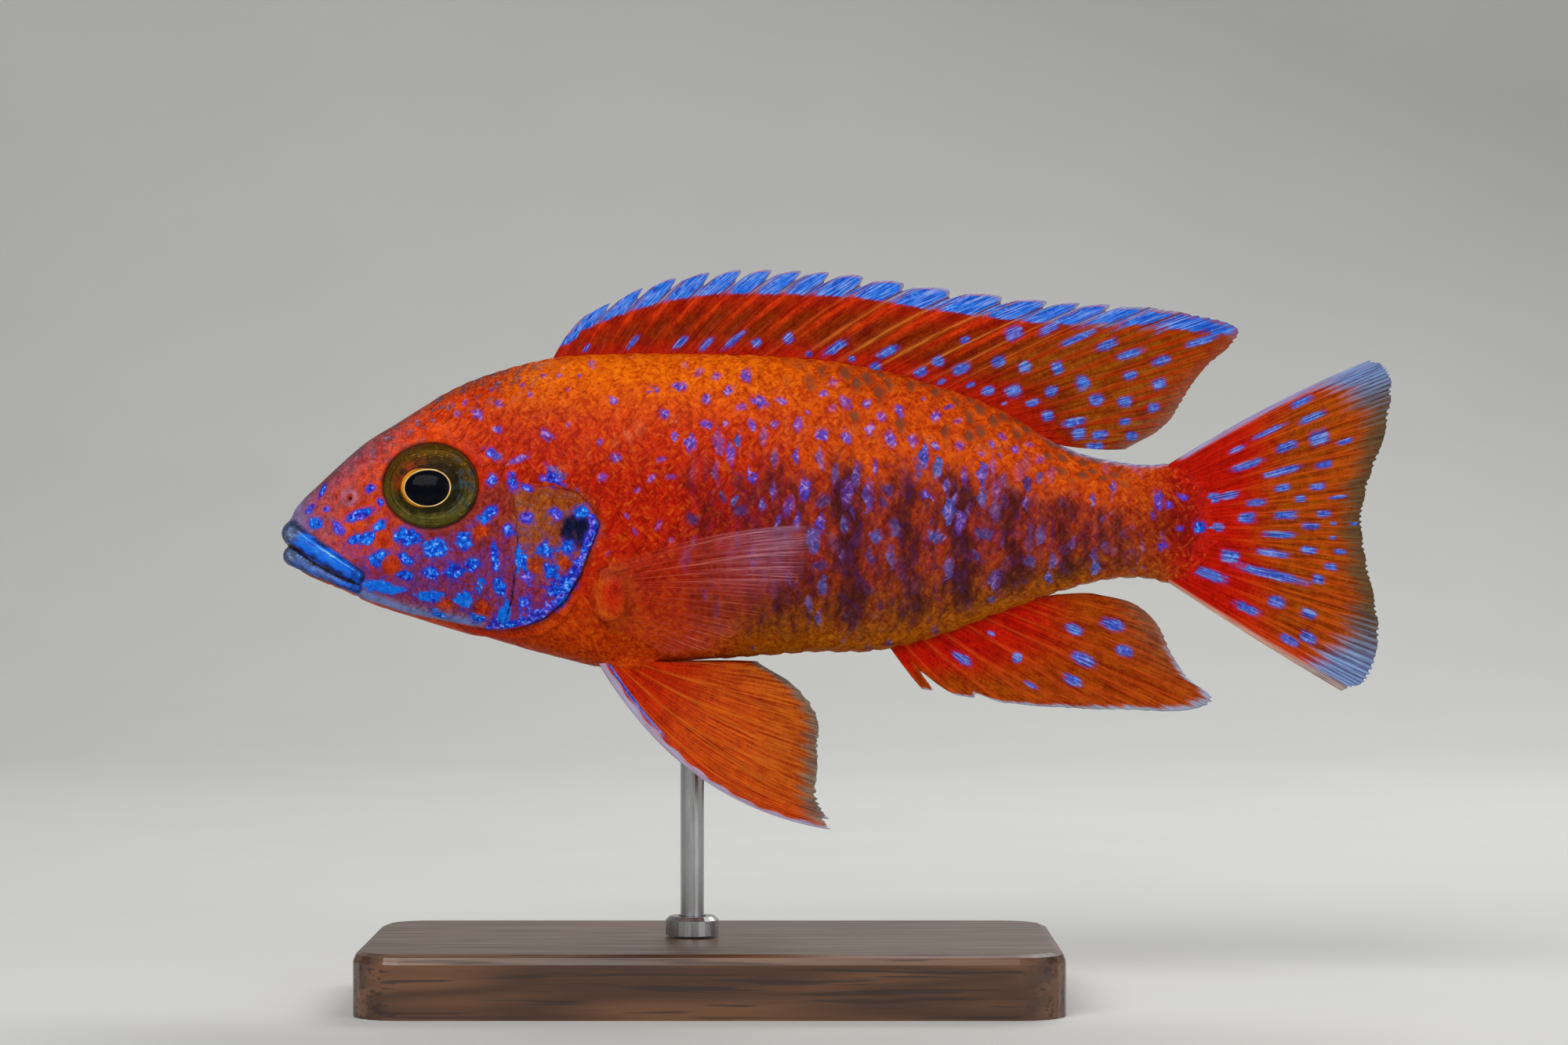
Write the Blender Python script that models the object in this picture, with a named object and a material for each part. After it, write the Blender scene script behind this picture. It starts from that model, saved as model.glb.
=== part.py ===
"""Peacock cichlid (Aulonocara), adult male, as a life-size display model on a plain stand.

Metres, +Z up. The head points to -X and the left flank to -Y. The origin is on the surface that the
stand rests on, under the middle of the whole model. Tables are in millimetres: x as in the model, and
h the height above the body's long axis, which is AXIS_HEIGHT above the floor.
"""

import math

import bmesh
import bpy
import numpy as np
from mathutils import Matrix, Vector

MM = 0.001

# Driving dimensions, in millimetres
AXIS_HEIGHT = 61.5  # the body's long axis above the floor
CUT = 0.3  # width of the thin cuts that part the body
FAR = 40.0  # half width of a cutter that goes right through
LOW, HIGH, FORE, AFT = -26.0, 30.0, -90.0, 60.0  # reach of the blocks that the body is parted with
FIN_GAP = 0.4  # a fin's root stands this far off the body
SWAY = 2.2  # sideways swing of the tail at the end of the caudal fin
SWAY_FROM = 5.0  # x where the tail starts to swing
TAIL_TIP = 71.0  # x of the end of the caudal fin

# Body profile: x, height of the back, height of the belly, half width, height of the widest level
PROFILE = (
    (-69.9, -0.5, -5.0, 1.2, -2.8),
    (-69.4, 0.9, -6.1, 2.6, -2.8),
    (-68.2, 2.5, -7.3, 3.8, -2.7),
    (-66.2, 4.4, -8.3, 4.7, -2.5),
    (-63.0, 7.4, -9.7, 5.5, -2.1),
    (-60.2, 9.8, -11.1, 6.2, -1.7),
    (-56.5, 12.1, -12.4, 6.8, -1.2),
    (-52.0, 14.9, -13.7, 7.4, -0.8),
    (-47.0, 17.5, -15.0, 8.0, -0.4),
    (-42.0, 19.2, -16.4, 8.6, 0.0),
    (-36.0, 20.6, -18.0, 9.1, 0.3),
    (-29.0, 21.0, -19.5, 9.2, 0.5),
    (-21.0, 21.1, -18.7, 9.0, 0.7),
    (-12.0, 20.9, -18.0, 8.5, 0.9),
    (-3.0, 20.4, -17.4, 7.8, 1.0),
    (5.0, 19.1, -17.2, 7.0, 1.0),
    (13.0, 16.9, -15.3, 6.1, 0.9),
    (21.0, 13.9, -12.3, 5.1, 0.6),
    (29.0, 9.1, -9.5, 4.2, 0.1),
    (36.0, 7.3, -8.0, 3.3, -0.4),
    (40.0, 7.0, -8.1, 2.7, -0.6),
    (43.0, 7.3, -8.9, 2.1, -0.8),
)
BACK_POWER = (0.95, 1.05)  # section fullness above the widest level, at the snout and at the tail
BELLY_POWER = (0.80, 0.95)  # the same below it
RING_SIDES = 26
RINGS = 40
SNOUT_CROWDING = 0.35  # rings stand closer at the snout: 0 is even spacing

# Eyes
EYE_X, EYE_H = -50.9, 3.8
EYE_HALVES = (6.8, 5.75, 3.7)  # half length, half height and half depth of an eyeball
EYE_PROUD = 1.5  # how far an eyeball stands out of the cheek
EYE_FACING = (-0.10, 0.14)  # its lean forwards and up, for each mm outwards

# Mouth: the line of the cleft from its front to its corner, and the two lips round it
LIP_ROUTE = ((-69.45, 0.0), (-68.6, 2.6), (-66.2, 4.1), (-63.4, 5.1), (-60.9, 5.8))  # x, half width
UPPER_LIP = (-2.0, -7.4, 1.5, 1.0)  # height at the front and the corner, radius at both
LOWER_LIP = (-4.9, -9.0, 1.3, 0.6)

# Outlines in the side view, x and h
JAW_OUTLINE = ((-75.0, -3.5), (-60.2, -8.4), (-55.0, -10.6), (-50.0, -20.0), (-75.0, -20.0))
GILL_COVER_OUTLINE = (
    (-40.4, 3.5), (-36.0, 3.7), (-32.2, 2.5), (-30.1, -0.2), (-30.7, -3.5), (-32.1, -7.0),
    (-34.3, -10.5), (-37.3, -12.8), (-41.9, -14.0), (-40.9, -9.0), (-40.2, -4.0),
)
GILL_COVER_INNER = 5.6  # half width at the inner side of the gill covers
NAPE_CUT = (
    (-36.6, HIGH), (-33.2, 12.0), (-30.2, 4.6), (-28.9, -0.2), (-30.0, -5.5), (-33.2, -11.6),
    (-36.6, -14.6), (-42.5, LOW),
)
VENT_CUT_X, TAIL_CUT_X = 5.0, 29.5

# Fins as rays: root x, root h (None on the back or belly line), tip x, tip h, and the bow of the ray
DORSAL_RAYS = (
    (-35.6, None, -31.6, 26.2, 0.5), (-29.5, None, -22.9, 30.0, 0.6), (-23.3, None, -14.1, 31.5, 0.6),
    (-17.1, None, -6.0, 31.5, 0.6), (-10.9, None, 1.8, 31.0, 0.5), (-1.6, None, 12.8, 29.3, 0.5),
    (7.7, None, 26.0, 27.7, 0.4), (13.7, None, 34.6, 27.2, 0.3), (17.5, None, 42.9, 26.4, 0.2),
    (21.0, None, 51.3, 23.9, 0.0), (24.2, None, 46.2, 18.2, -0.2), (27.4, None, 42.0, 11.9, -0.4),
    (30.2, None, 36.8, 8.7, -0.2),
)
DORSAL_COUNTS = (26, 16)  # rays in all, and how many of them are spines
ANAL_RAYS = (
    (7.2, None, 10.8, -21.9, -0.1), (9.2, None, 15.4, -22.7, -0.3), (11.7, None, 21.5, -23.7, -0.3),
    (14.4, None, 28.6, -24.3, -0.3), (17.2, None, 36.2, -24.6, -0.2), (19.7, None, 44.2, -24.7, 0.0),
    (22.0, None, 48.0, -23.3, 0.2), (24.0, None, 44.8, -20.5, 0.3), (25.7, None, 42.8, -17.5, 0.4),
    (27.2, None, 41.0, -13.8, 0.5), (28.4, None, 37.9, -11.0, 0.4), (29.4, None, 32.7, -9.7, 0.1),
)
ANAL_COUNTS = (12, 3)
CAUDAL_RAYS = (
    (43.4, 7.3, 68.3, 20.2, 0.7), (43.4, 5.8, 70.5, 19.0, 0.6), (43.4, 4.2, 71.0, 15.5, 0.4),
    (43.4, 2.5, 70.0, 10.0, 0.2), (43.4, 0.8, 68.0, 4.5, 0.1), (43.4, -0.8, 67.2, -0.2, 0.0),
    (43.4, -2.4, 67.7, -5.0, 0.0), (43.4, -4.1, 68.7, -10.0, -0.1), (43.4, -5.8, 69.4, -15.0, -0.2),
    (43.4, -7.5, 68.0, -20.5, -0.2), (43.4, -9.0, 64.5, -22.2, -0.2),
)
CAUDAL_COUNTS = (18, 0)
PELVIC_RAYS = (
    (-29.1, None, -0.8, -39.2, -4.2), (-28.1, None, -1.8, -38.0, -3.0), (-26.9, None, -2.7, -35.0, -1.6),
    (-25.6, None, -2.5, -29.5, -0.8), (-24.2, None, -3.0, -24.5, -0.2), (-22.6, None, -5.8, -19.6, 0.2),
)
PELVIC_ROOT, PELVIC_SPLAY = 3.2, 0.30  # half width at the root, and outward swing for each mm down
PECTORAL_RAYS = (
    (-28.5, -6.4, -3.1, -0.9, 1.3), (-28.0, -7.3, -2.5, -3.0, 0.9), (-27.7, -8.4, -4.2, -8.0, 0.5),
    (-27.6, -9.5, -7.0, -11.2, 0.3), (-27.7, -10.8, -10.8, -14.3, 0.1), (-27.9, -12.0, -15.3, -16.8, 0.0),
    (-28.4, -13.1, -21.2, -17.4, -0.2),
)
PECTORAL_OFF, PECTORAL_SPLAY = 1.2, 0.20  # off the flank at the root, and outward swing for each mm back
ROOT_HALF, TIP_HALF = 0.75, 0.27  # half thickness of a fin at its root and at its margin
SPINE_DIP = 0.2  # how far the skin between two spines falls short of them
DORSAL_GRID, ANAL_GRID, CAUDAL_GRID = (75, 3), (33, 3), (22, 5)  # faces along the root, and up to the tip
PELVIC_GRID, PECTORAL_GRID = (12, 5), (14, 4)
EYE_GRID = (18, 9)
LIP_STEPS = 16

# Stand
BASE_LENGTH, BASE_WIDTH, BASE_HEIGHT, BASE_CORNER = 88.0, 48.0, 8.0, 6.0
BASE_BEVEL = 1.2
BASE_X = -16.0
ROD_X, ROD_RADIUS = -18.5, 1.5
ROD_SIDES = 24
COLLAR_RADIUS, COLLAR_HEIGHT, COLLAR_BEVEL = 3.4, 2.4, 0.5
COLLAR_GAP = 0.3

FLESH = (0.82, 0.13, 0.02, 1.0)
FIN_RED = (0.62, 0.09, 0.02, 1.0)
LIP_BLUE = (0.12, 0.25, 0.62, 1.0)
EYE_OLIVE = (0.20, 0.16, 0.05, 1.0)
WALNUT = (0.16, 0.08, 0.04, 1.0)
STEEL = (0.60, 0.60, 0.62, 1.0)


def smooth(xs, ys, x):
    """A cubic Hermite curve through the points (xs, ys), read at x."""
    xs, ys = np.asarray(xs, float), np.asarray(ys, float)
    slopes = np.gradient(ys, xs)
    i = int(np.clip(np.searchsorted(xs, x) - 1, 0, len(xs) - 2))
    gap = xs[i + 1] - xs[i]
    t = min(max((x - xs[i]) / gap, 0.0), 1.0)
    return (
        ys[i] * (1 + 2 * t) * (1 - t) ** 2
        + slopes[i] * gap * t * (1 - t) ** 2
        + ys[i + 1] * t * t * (3 - 2 * t)
        - slopes[i + 1] * gap * t * t * (1 - t)
    )


def profile(x):
    """(back, belly, half width, widest level) of the body at x."""
    xs = [row[0] for row in PROFILE]
    return tuple(smooth(xs, [row[column] for row in PROFILE], x) for column in range(1, 5))


def section(x, turn):
    """(half width, h) of the body's surface at x; turn is 0 on the back and pi on the belly."""
    back, belly, wide, middle = profile(x)
    share = (x - PROFILE[0][0]) / (PROFILE[-1][0] - PROFILE[0][0])
    power = BACK_POWER if turn <= math.pi / 2 else BELLY_POWER
    reach = back - middle if turn <= math.pi / 2 else middle - belly
    fullness = power[0] + (power[1] - power[0]) * share
    return wide * max(math.sin(turn), 0.0) ** fullness, middle + reach * math.cos(turn)


def flank(x, h):
    """Half width of the body at x and height h."""
    back, belly, _, middle = profile(x)
    reach = back - middle if h >= middle else middle - belly
    turn = math.acos(min(max((h - middle) / reach, -1.0), 1.0))
    return section(x, turn)[0]


def underside(x, wide):
    """Height of the body's lower surface at x, a half width out from the middle plane."""
    _, belly, most, middle = profile(x)
    share = (x - PROFILE[0][0]) / (PROFILE[-1][0] - PROFILE[0][0])
    fullness = BELLY_POWER[0] + (BELLY_POWER[1] - BELLY_POWER[0]) * share
    level = min(wide / most, 1.0) ** (1 / fullness)
    return middle - (middle - belly) * math.sqrt(1 - level * level)


def sway(x):
    """Sideways shift of the body at x."""
    return SWAY * (max(0.0, x - SWAY_FROM) / (TAIL_TIP - SWAY_FROM)) ** 2


def place(x, y, h):
    """A point of the fish, in metres in the model's frame."""
    return Vector((x, y + sway(x), AXIS_HEIGHT + h)) * MM


def finish_material(name, colour, roughness, metallic=0.0):
    material = bpy.data.materials.new(name)
    material.use_nodes = True
    shader = material.node_tree.nodes["Principled BSDF"]
    shader.inputs["Base Color"].default_value = colour
    shader.inputs["Roughness"].default_value = roughness
    shader.inputs["Metallic"].default_value = metallic
    return material


def new_collection(name):
    found = bpy.data.collections.new(name)
    bpy.context.scene.collection.children.link(found)
    return found


def as_object(name, mesh, collection, material=None):
    made = bpy.data.objects.new(name, mesh)
    collection.objects.link(made)
    if material is not None:
        mesh.materials.clear()
        mesh.materials.append(material)
    return made


def as_helper(made):
    made.hide_render = True
    made.display_type = "WIRE"
    return made


def mesh_of(bm, name):
    bmesh.ops.recalc_face_normals(bm, faces=bm.faces)
    mesh = bpy.data.meshes.new(name)
    bm.to_mesh(mesh)
    bm.free()
    mesh.shade_smooth()
    return mesh


def mesh_from_curve(curve_object):
    """The evaluated mesh of a curve, with its caps welded. The curve is removed."""
    bpy.context.view_layer.update()
    graph = bpy.context.evaluated_depsgraph_get()
    mesh = bpy.data.meshes.new_from_object(curve_object.evaluated_get(graph))
    matrix = curve_object.matrix_world.copy()
    name = curve_object.name
    bpy.data.objects.remove(curve_object)
    bm = bmesh.new()
    bm.from_mesh(mesh)
    bmesh.ops.remove_doubles(bm, verts=bm.verts, dist=1e-5)
    bmesh.ops.transform(bm, matrix=matrix, verts=bm.verts)
    return mesh_of(bm, name)


def grown(outline, by):
    """A closed outline, given anticlockwise or clockwise, moved outwards by a distance."""
    count = len(outline)
    area = sum(
        outline[i][0] * outline[(i + 1) % count][1] - outline[(i + 1) % count][0] * outline[i][1]
        for i in range(count)
    )
    turn = 1.0 if area > 0 else -1.0
    moved = []
    for i in range(count):
        before, here, after = (Vector(outline[(i + k) % count]) for k in (-1, 0, 1))
        first, second = (here - before).normalized(), (after - here).normalized()
        out = Vector((first.y, -first.x)) + Vector((second.y, -second.x))
        out.normalize()
        stretch = max(0.5, out.dot(Vector((first.y, -first.x))))
        moved.append(tuple(here + out * (turn * by / stretch)))
    return moved


def prism(name, outline, low, high, cutters):
    """A cutter: a closed side-view outline carried across from y low to y high."""
    curve = bpy.data.curves.new(name, "CURVE")
    curve.dimensions = "2D"
    curve.fill_mode = "BOTH"
    curve.extrude = (high - low) / 2 * MM
    spline = curve.splines.new("POLY")
    spline.points.add(len(outline) - 1)
    for point, (x, h) in zip(spline.points, outline):
        point.co = (x * MM, (AXIS_HEIGHT + h) * MM, 0.0, 1.0)
    spline.use_cyclic_u = True
    made = bpy.data.objects.new(name, curve)
    made.matrix_world = Matrix.Translation((0, (low + high) / 2 * MM, 0)) @ Matrix.Rotation(
        math.pi / 2, 4, "X"
    )
    cutters.objects.link(made)
    return as_helper(as_object(name, mesh_from_curve(made), cutters))


def body_mesh():
    """The whole body from the snout to the root of the caudal fin, as rings bridged into one skin."""
    bm = bmesh.new()
    first, last = PROFILE[0][0], PROFILE[-1][0]
    before = None
    for ring in range(RINGS + 1):
        share = ring / RINGS
        x = first + (last - first) * (share + SNOUT_CROWDING * (share * share - share))
        made = bmesh.ops.create_circle(bm, cap_ends=False, segments=RING_SIDES, radius=1.0)
        for corner, vert in enumerate(made["verts"]):
            turn = 2 * math.pi * corner / RING_SIDES
            side = 1.0 if turn <= math.pi else -1.0
            y, h = section(x, turn if turn <= math.pi else 2 * math.pi - turn)
            vert.co = place(x, side * y, h)
        edges = list({edge for vert in made["verts"] for edge in vert.link_edges if edge.is_wire})
        if before is None:
            bmesh.ops.contextual_create(bm, geom=edges)
        else:
            bmesh.ops.bridge_loops(bm, edges=before + edges)
        before = edges
    bmesh.ops.contextual_create(bm, geom=before)
    return mesh_of(bm, "body")


def cut_piece(name, mesh, collection, material, keep=(), cut=()):
    """A node cut from the whole body: what all of keep share, less all of cut."""
    made = as_object(name, mesh.copy(), collection, material)
    for operation, tools in (("INTERSECT", keep), ("DIFFERENCE", cut)):
        for tool in tools:
            modifier = made.modifiers.new(f"{operation.lower()}_{tool.name}", "BOOLEAN")
            modifier.operation = operation
            modifier.object = tool
            modifier.solver = "EXACT"
    return made


def ellipsoid(name, side, more, collection):
    """An eyeball turned to face out of the head, larger by more."""
    bm = bmesh.new()
    bmesh.ops.create_uvsphere(bm, u_segments=EYE_GRID[0], v_segments=EYE_GRID[1], radius=1.0)
    bmesh.ops.scale(bm, vec=[(half + more) * MM for half in EYE_HALVES], verts=bm.verts)
    facing = Vector((EYE_FACING[0], side, EYE_FACING[1])).normalized()
    out = flank(EYE_X, EYE_H) + EYE_PROUD - EYE_HALVES[2]
    turn = facing.to_track_quat("Z", "Y").to_matrix().to_4x4()
    centre = place(EYE_X, side * out, EYE_H)
    bmesh.ops.transform(bm, matrix=Matrix.Translation(centre) @ turn, verts=bm.verts)
    return as_object(name, mesh_of(bm, name), collection)


def lip_tube(name, front_h, corner_h, front_radius, corner_radius, more, collection):
    """A lip as one bent roll from corner to corner round the front of the mouth."""
    route = [(x, -wide) for x, wide in reversed(LIP_ROUTE)] + list(LIP_ROUTE[1:])
    span = LIP_ROUTE[-1][0] - LIP_ROUTE[0][0]
    curve = bpy.data.curves.new(name, "CURVE")
    curve.dimensions = "3D"
    curve.bevel_depth = MM
    curve.bevel_resolution = 2
    curve.use_fill_caps = True
    spline = curve.splines.new("POLY")
    spline.points.add(LIP_STEPS)
    places = [i / (len(route) - 1) for i in range(len(route))]
    for i, point in enumerate(spline.points):
        share = i / LIP_STEPS
        x = smooth(places, [p[0] for p in route], share)
        y = smooth(places, [p[1] for p in route], share)
        back = (x - LIP_ROUTE[0][0]) / span
        h = front_h + (corner_h - front_h) * back
        at = place(x, y, h)
        point.co = (*at, 1.0)
        point.radius = front_radius + (corner_radius - front_radius) * back + more
    made = bpy.data.objects.new(name, curve)
    collection.objects.link(made)
    return as_object(name, mesh_from_curve(made), collection)


def ray_at(rays, share, line):
    """(root x, root h, tip x, tip h, bow) of a fin's ray, at a share of the way through its table."""
    spots = list(range(len(rays)))
    at = share * (len(rays) - 1)
    root_x = smooth(spots, [ray[0] for ray in rays], at)
    if line == "back":
        root_h = profile(root_x)[0] + FIN_GAP
    elif line == "belly":
        root_h = profile(root_x)[1] - FIN_GAP
    elif line == "breast":
        root_h = underside(root_x, PELVIC_ROOT) - 2 * FIN_GAP
    else:
        root_h = smooth(spots, [ray[1] for ray in rays], at)
    return (root_x, root_h, *(smooth(spots, [ray[k] for ray in rays], at) for k in (2, 3, 4)))


def along_ray(ray, share):
    """The (x, h) of a point at a share of the way up a bowed ray."""
    root, tip = Vector(ray[:2]), Vector(ray[2:4])
    across = Vector((root.y - tip.y, tip.x - root.x)).normalized()
    return root.lerp(tip, share) + across * (ray[4] * 4 * share * (1 - share))


def margin_dip(count, spines, share, depth):
    """How far the margin falls short of the tips of the spines between two of them, as a share of them."""
    at = share * (count - 1)
    between = at - math.floor(at)
    return depth * (1 - between) if between > 0.01 and at < spines - 1 else 0.0


def fin_mesh(name, columns, rows, point, half):
    """A closed blade: two skins from one grid, a half thickness apart each way, joined round the rim.
    point(across, up) gives the middle surface and its normal, half(across, up) the half thickness."""
    bm = bmesh.new()
    loops = []
    for side in (-1.0, 1.0):
        made = bmesh.ops.create_grid(bm, x_segments=columns, y_segments=rows, size=0.5)
        faces = {face for vert in made["verts"] for face in vert.link_faces}
        for vert in made["verts"]:
            across, up = vert.co.x + 0.5, vert.co.y + 0.5
            middle, normal = point(across, up)
            vert.co = middle + normal * (side * half(across, up) * MM)
        if side > 0:
            bmesh.ops.reverse_faces(bm, faces=list(faces))
        rim = {edge for face in faces for edge in face.edges if edge.is_boundary}
        loops.append(list(rim))
    bmesh.ops.bridge_loops(bm, edges=loops[0] + loops[1])
    return mesh_of(bm, name)


def taper(across, up):
    """Half thickness of a fin: fleshy at the root and thin at the margin."""
    return TIP_HALF + (ROOT_HALF - TIP_HALF) * (1 - up) ** 2


def median_fin(name, rays, counts, dip, grid, line, collection, material):
    """A fin in the middle plane: counts are its rays and how many of them are spines."""

    def point(across, up):
        ray = ray_at(rays, across, line)
        x, h = along_ray(ray, up * (1.0 - margin_dip(*counts, across, dip)))
        return place(x, 0.0, h), Vector((0, 1, 0))

    return as_object(name, fin_mesh(name, *grid, point, taper), collection, material)


def pelvic_fin(side, collection, material):
    """A pelvic fin: it hangs from the breast and swings out as it goes down."""
    normal = Vector((0, 1, side * PELVIC_SPLAY)).normalized()

    def point(across, up):
        ray = ray_at(PELVIC_RAYS, across, "breast")
        x, h = along_ray(ray, up)
        return place(x, side * (PELVIC_ROOT + PELVIC_SPLAY * (ray[1] - h)), h), normal

    name = "pelvic_fin_right" if side > 0 else "pelvic_fin_left"
    return as_object(name, fin_mesh(name, *PELVIC_GRID, point, taper), collection, material)


def pectoral_fin(side, collection, material):
    """A pectoral fin: it lies back along the flank and stands off it towards its tip."""
    normal = Vector((-PECTORAL_SPLAY * side, 1, 0)).normalized()

    def point(across, up):
        ray = ray_at(PECTORAL_RAYS, across, "own")
        x, h = along_ray(ray, up)
        root = flank(ray[0], ray[1]) + PECTORAL_OFF
        return place(x, side * (root + PECTORAL_SPLAY * (x - ray[0])), h), normal

    name = "pectoral_fin_right" if side > 0 else "pectoral_fin_left"
    return as_object(name, fin_mesh(name, *PECTORAL_GRID, point, taper), collection, material)


def stand_base(collection, wood):
    """A flat base with rounded corners and an eased upper edge."""
    bm = bmesh.new()
    bmesh.ops.create_cube(bm, size=1.0)
    bmesh.ops.scale(bm, vec=(BASE_LENGTH * MM, BASE_WIDTH * MM, BASE_HEIGHT * MM), verts=bm.verts)
    upright = [e for e in bm.edges if abs(e.verts[0].co.z - e.verts[1].co.z) > BASE_HEIGHT * MM / 2]
    rounded = {"segments": 5, "profile": 0.5, "affect": "EDGES", "material": -1}
    bmesh.ops.bevel(bm, geom=upright, offset=BASE_CORNER * MM, **rounded)
    rim = [e for e in bm.edges if min(v.co.z for v in e.verts) > 0 and e.calc_face_angle() > 1.0]
    eased = {"segments": 2, "profile": 0.5, "affect": "EDGES", "material": -1}
    bmesh.ops.bevel(bm, geom=rim, offset=BASE_BEVEL * MM, **eased)
    bmesh.ops.translate(bm, vec=(BASE_X * MM, 0, BASE_HEIGHT / 2 * MM), verts=bm.verts)
    as_object("stand_base", mesh_of(bm, "stand_base"), collection, wood)


def stand_rod(collection, steel):
    """The rod from the base up to the belly."""
    top = AXIS_HEIGHT + profile(ROD_X)[1] - CUT
    foot = BASE_HEIGHT + CUT
    bm = bmesh.new()
    bmesh.ops.create_cone(
        bm, cap_ends=True, segments=ROD_SIDES, radius1=ROD_RADIUS * MM, radius2=ROD_RADIUS * MM,
        depth=(top - foot) * MM,
    )
    bmesh.ops.translate(bm, vec=(ROD_X * MM, 0, (top + foot) / 2 * MM), verts=bm.verts)
    as_object("stand_rod", mesh_of(bm, "stand_rod"), collection, steel)


def stand_collar(collection, steel):
    """A turned collar round the rod's foot."""
    inner = ROD_RADIUS + COLLAR_GAP
    outline = (
        (inner, 0), (COLLAR_RADIUS, 0), (COLLAR_RADIUS, COLLAR_HEIGHT - COLLAR_BEVEL),
        (COLLAR_RADIUS - COLLAR_BEVEL, COLLAR_HEIGHT), (inner, COLLAR_HEIGHT),
    )
    bm = bmesh.new()
    verts = [bm.verts.new((radius * MM, 0, height * MM)) for radius, height in outline]
    edges = [bm.edges.new((verts[i - 1], verts[i])) for i in range(len(verts))]
    turned = {"axis": (0, 0, 1), "cent": (0, 0, 0), "angle": 2 * math.pi, "use_merge": True}
    bmesh.ops.spin(bm, geom=edges, steps=ROD_SIDES, **turned)
    bmesh.ops.translate(bm, vec=(ROD_X * MM, 0, (BASE_HEIGHT + CUT) * MM), verts=bm.verts)
    as_object("stand_collar", mesh_of(bm, "stand_collar"), collection, steel)


def gill_covers(body, collection, cutters, skin):
    """The two gill covers, let into the cheeks. Gives the rooms that they need in the head."""
    rooms = []
    for side, word in ((-1.0, "left"), (1.0, "right")):
        reach = sorted((side * GILL_COVER_INNER, side * FAR))
        room_reach = sorted((side * (GILL_COVER_INNER - CUT), side * FAR))
        cover = prism(f"cut_gill_{word}", GILL_COVER_OUTLINE, *reach, cutters)
        rooms.append(prism(f"cut_gill_room_{word}", grown(GILL_COVER_OUTLINE, CUT), *room_reach, cutters))
        cut_piece(f"gill_cover_{word}", body, collection, skin, keep=[cover])
    return rooms


def eyes(collection, cutters, eye):
    """The two eyeballs. Gives the rooms that they need in the head."""
    rooms = []
    for side, word in ((-1.0, "left"), (1.0, "right")):
        eyeball = ellipsoid(f"eye_{word}", side, 0.0, collection)
        eyeball.data.materials.append(eye)
        rooms.append(as_helper(ellipsoid(f"cut_eye_{word}", side, CUT, cutters)))
    return rooms


def lips(collection, cutters, blue):
    """The two lips. Gives the rooms that they need in the head and the jaw."""
    upper = lip_tube("upper_lip", *UPPER_LIP, 0.0, collection)
    lower = lip_tube("lower_lip", *LOWER_LIP, 0.0, collection)
    upper_room = as_helper(lip_tube("cut_upper_lip", *UPPER_LIP, CUT, cutters))
    lower_room = as_helper(lip_tube("cut_lower_lip", *LOWER_LIP, CUT, cutters))
    for lip in (upper, lower):
        lip.data.materials.append(blue)
    cut = lower.modifiers.new("room_for_upper_lip", "BOOLEAN")
    cut.operation, cut.object, cut.solver = "DIFFERENCE", upper_room, "EXACT"
    return [upper_room, lower_room]


def flesh(collection, cutters, skin, blue, eye):
    """The body, parted into head, jaw, gill covers, trunk and tail, with lips and eyes let into it."""
    body = body_mesh()
    jaw = prism("cut_jaw", JAW_OUTLINE, -FAR, FAR, cutters)
    jaw_room = prism("cut_jaw_room", grown(JAW_OUTLINE, CUT), -FAR, FAR, cutters)
    cover_rooms = gill_covers(body, collection, cutters, skin)
    eye_rooms = eyes(collection, cutters, eye)
    lip_rooms = lips(collection, cutters, blue)
    cut_piece("lower_jaw", body, collection, skin, [jaw], lip_rooms)

    half, nape = CUT / 2, list(NAPE_CUT)
    vent, tail = VENT_CUT_X, TAIL_CUT_X
    blocks = {
        "head": grown(nape + [(FORE, LOW), (FORE, HIGH)], -half),
        "trunk_front": grown(nape + [(vent, LOW), (vent, HIGH)], -half),
        "trunk_rear": grown([(vent, LOW), (tail, LOW), (tail, HIGH), (vent, HIGH)], -half),
        "tail_stem": grown([(tail, LOW), (AFT, LOW), (AFT, HIGH), (tail, HIGH)], -half),
    }
    for name, outline in blocks.items():
        block = prism(f"keep_{name}", outline, -FAR, FAR, cutters)
        rooms = [jaw_room, *cover_rooms, *eye_rooms, *lip_rooms] if name == "head" else []
        cut_piece(name, body, collection, skin, [block], rooms)


def main():
    for old in list(bpy.data.objects):
        bpy.data.objects.remove(old)
    fish, cutters = new_collection("peacock_cichlid"), new_collection("cutters")
    skin = finish_material("skin", FLESH, 0.35)
    fin = finish_material("fin", FIN_RED, 0.4)
    blue = finish_material("lips", LIP_BLUE, 0.3)
    eye = finish_material("eye", EYE_OLIVE, 0.1)
    wood = finish_material("walnut", WALNUT, 0.5)
    steel = finish_material("steel", STEEL, 0.3, 1.0)
    flesh(fish, cutters, skin, blue, eye)
    median_fin("dorsal_fin", DORSAL_RAYS, DORSAL_COUNTS, SPINE_DIP, DORSAL_GRID, "back", fish, fin)
    median_fin("anal_fin", ANAL_RAYS, ANAL_COUNTS, SPINE_DIP, ANAL_GRID, "belly", fish, fin)
    median_fin("caudal_fin", CAUDAL_RAYS, CAUDAL_COUNTS, 0.0, CAUDAL_GRID, "own", fish, fin)
    for side in (-1.0, 1.0):
        pelvic_fin(side, fish, fin)
        pectoral_fin(side, fish, fin)
    stand_base(fish, wood)
    stand_rod(fish, steel)
    stand_collar(fish, steel)


if __name__ == "__main__":
    main()
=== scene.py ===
"""Peacock cichlid display model: the skin, scales, eyes, fins and stand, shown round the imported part.

Metres, +Z up. The head points to -X and the left flank to -Y. Tables are in millimetres: x as in the model,
and h the height above the body's long axis, which is AXIS_HEIGHT above the floor.
"""

import math

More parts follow.
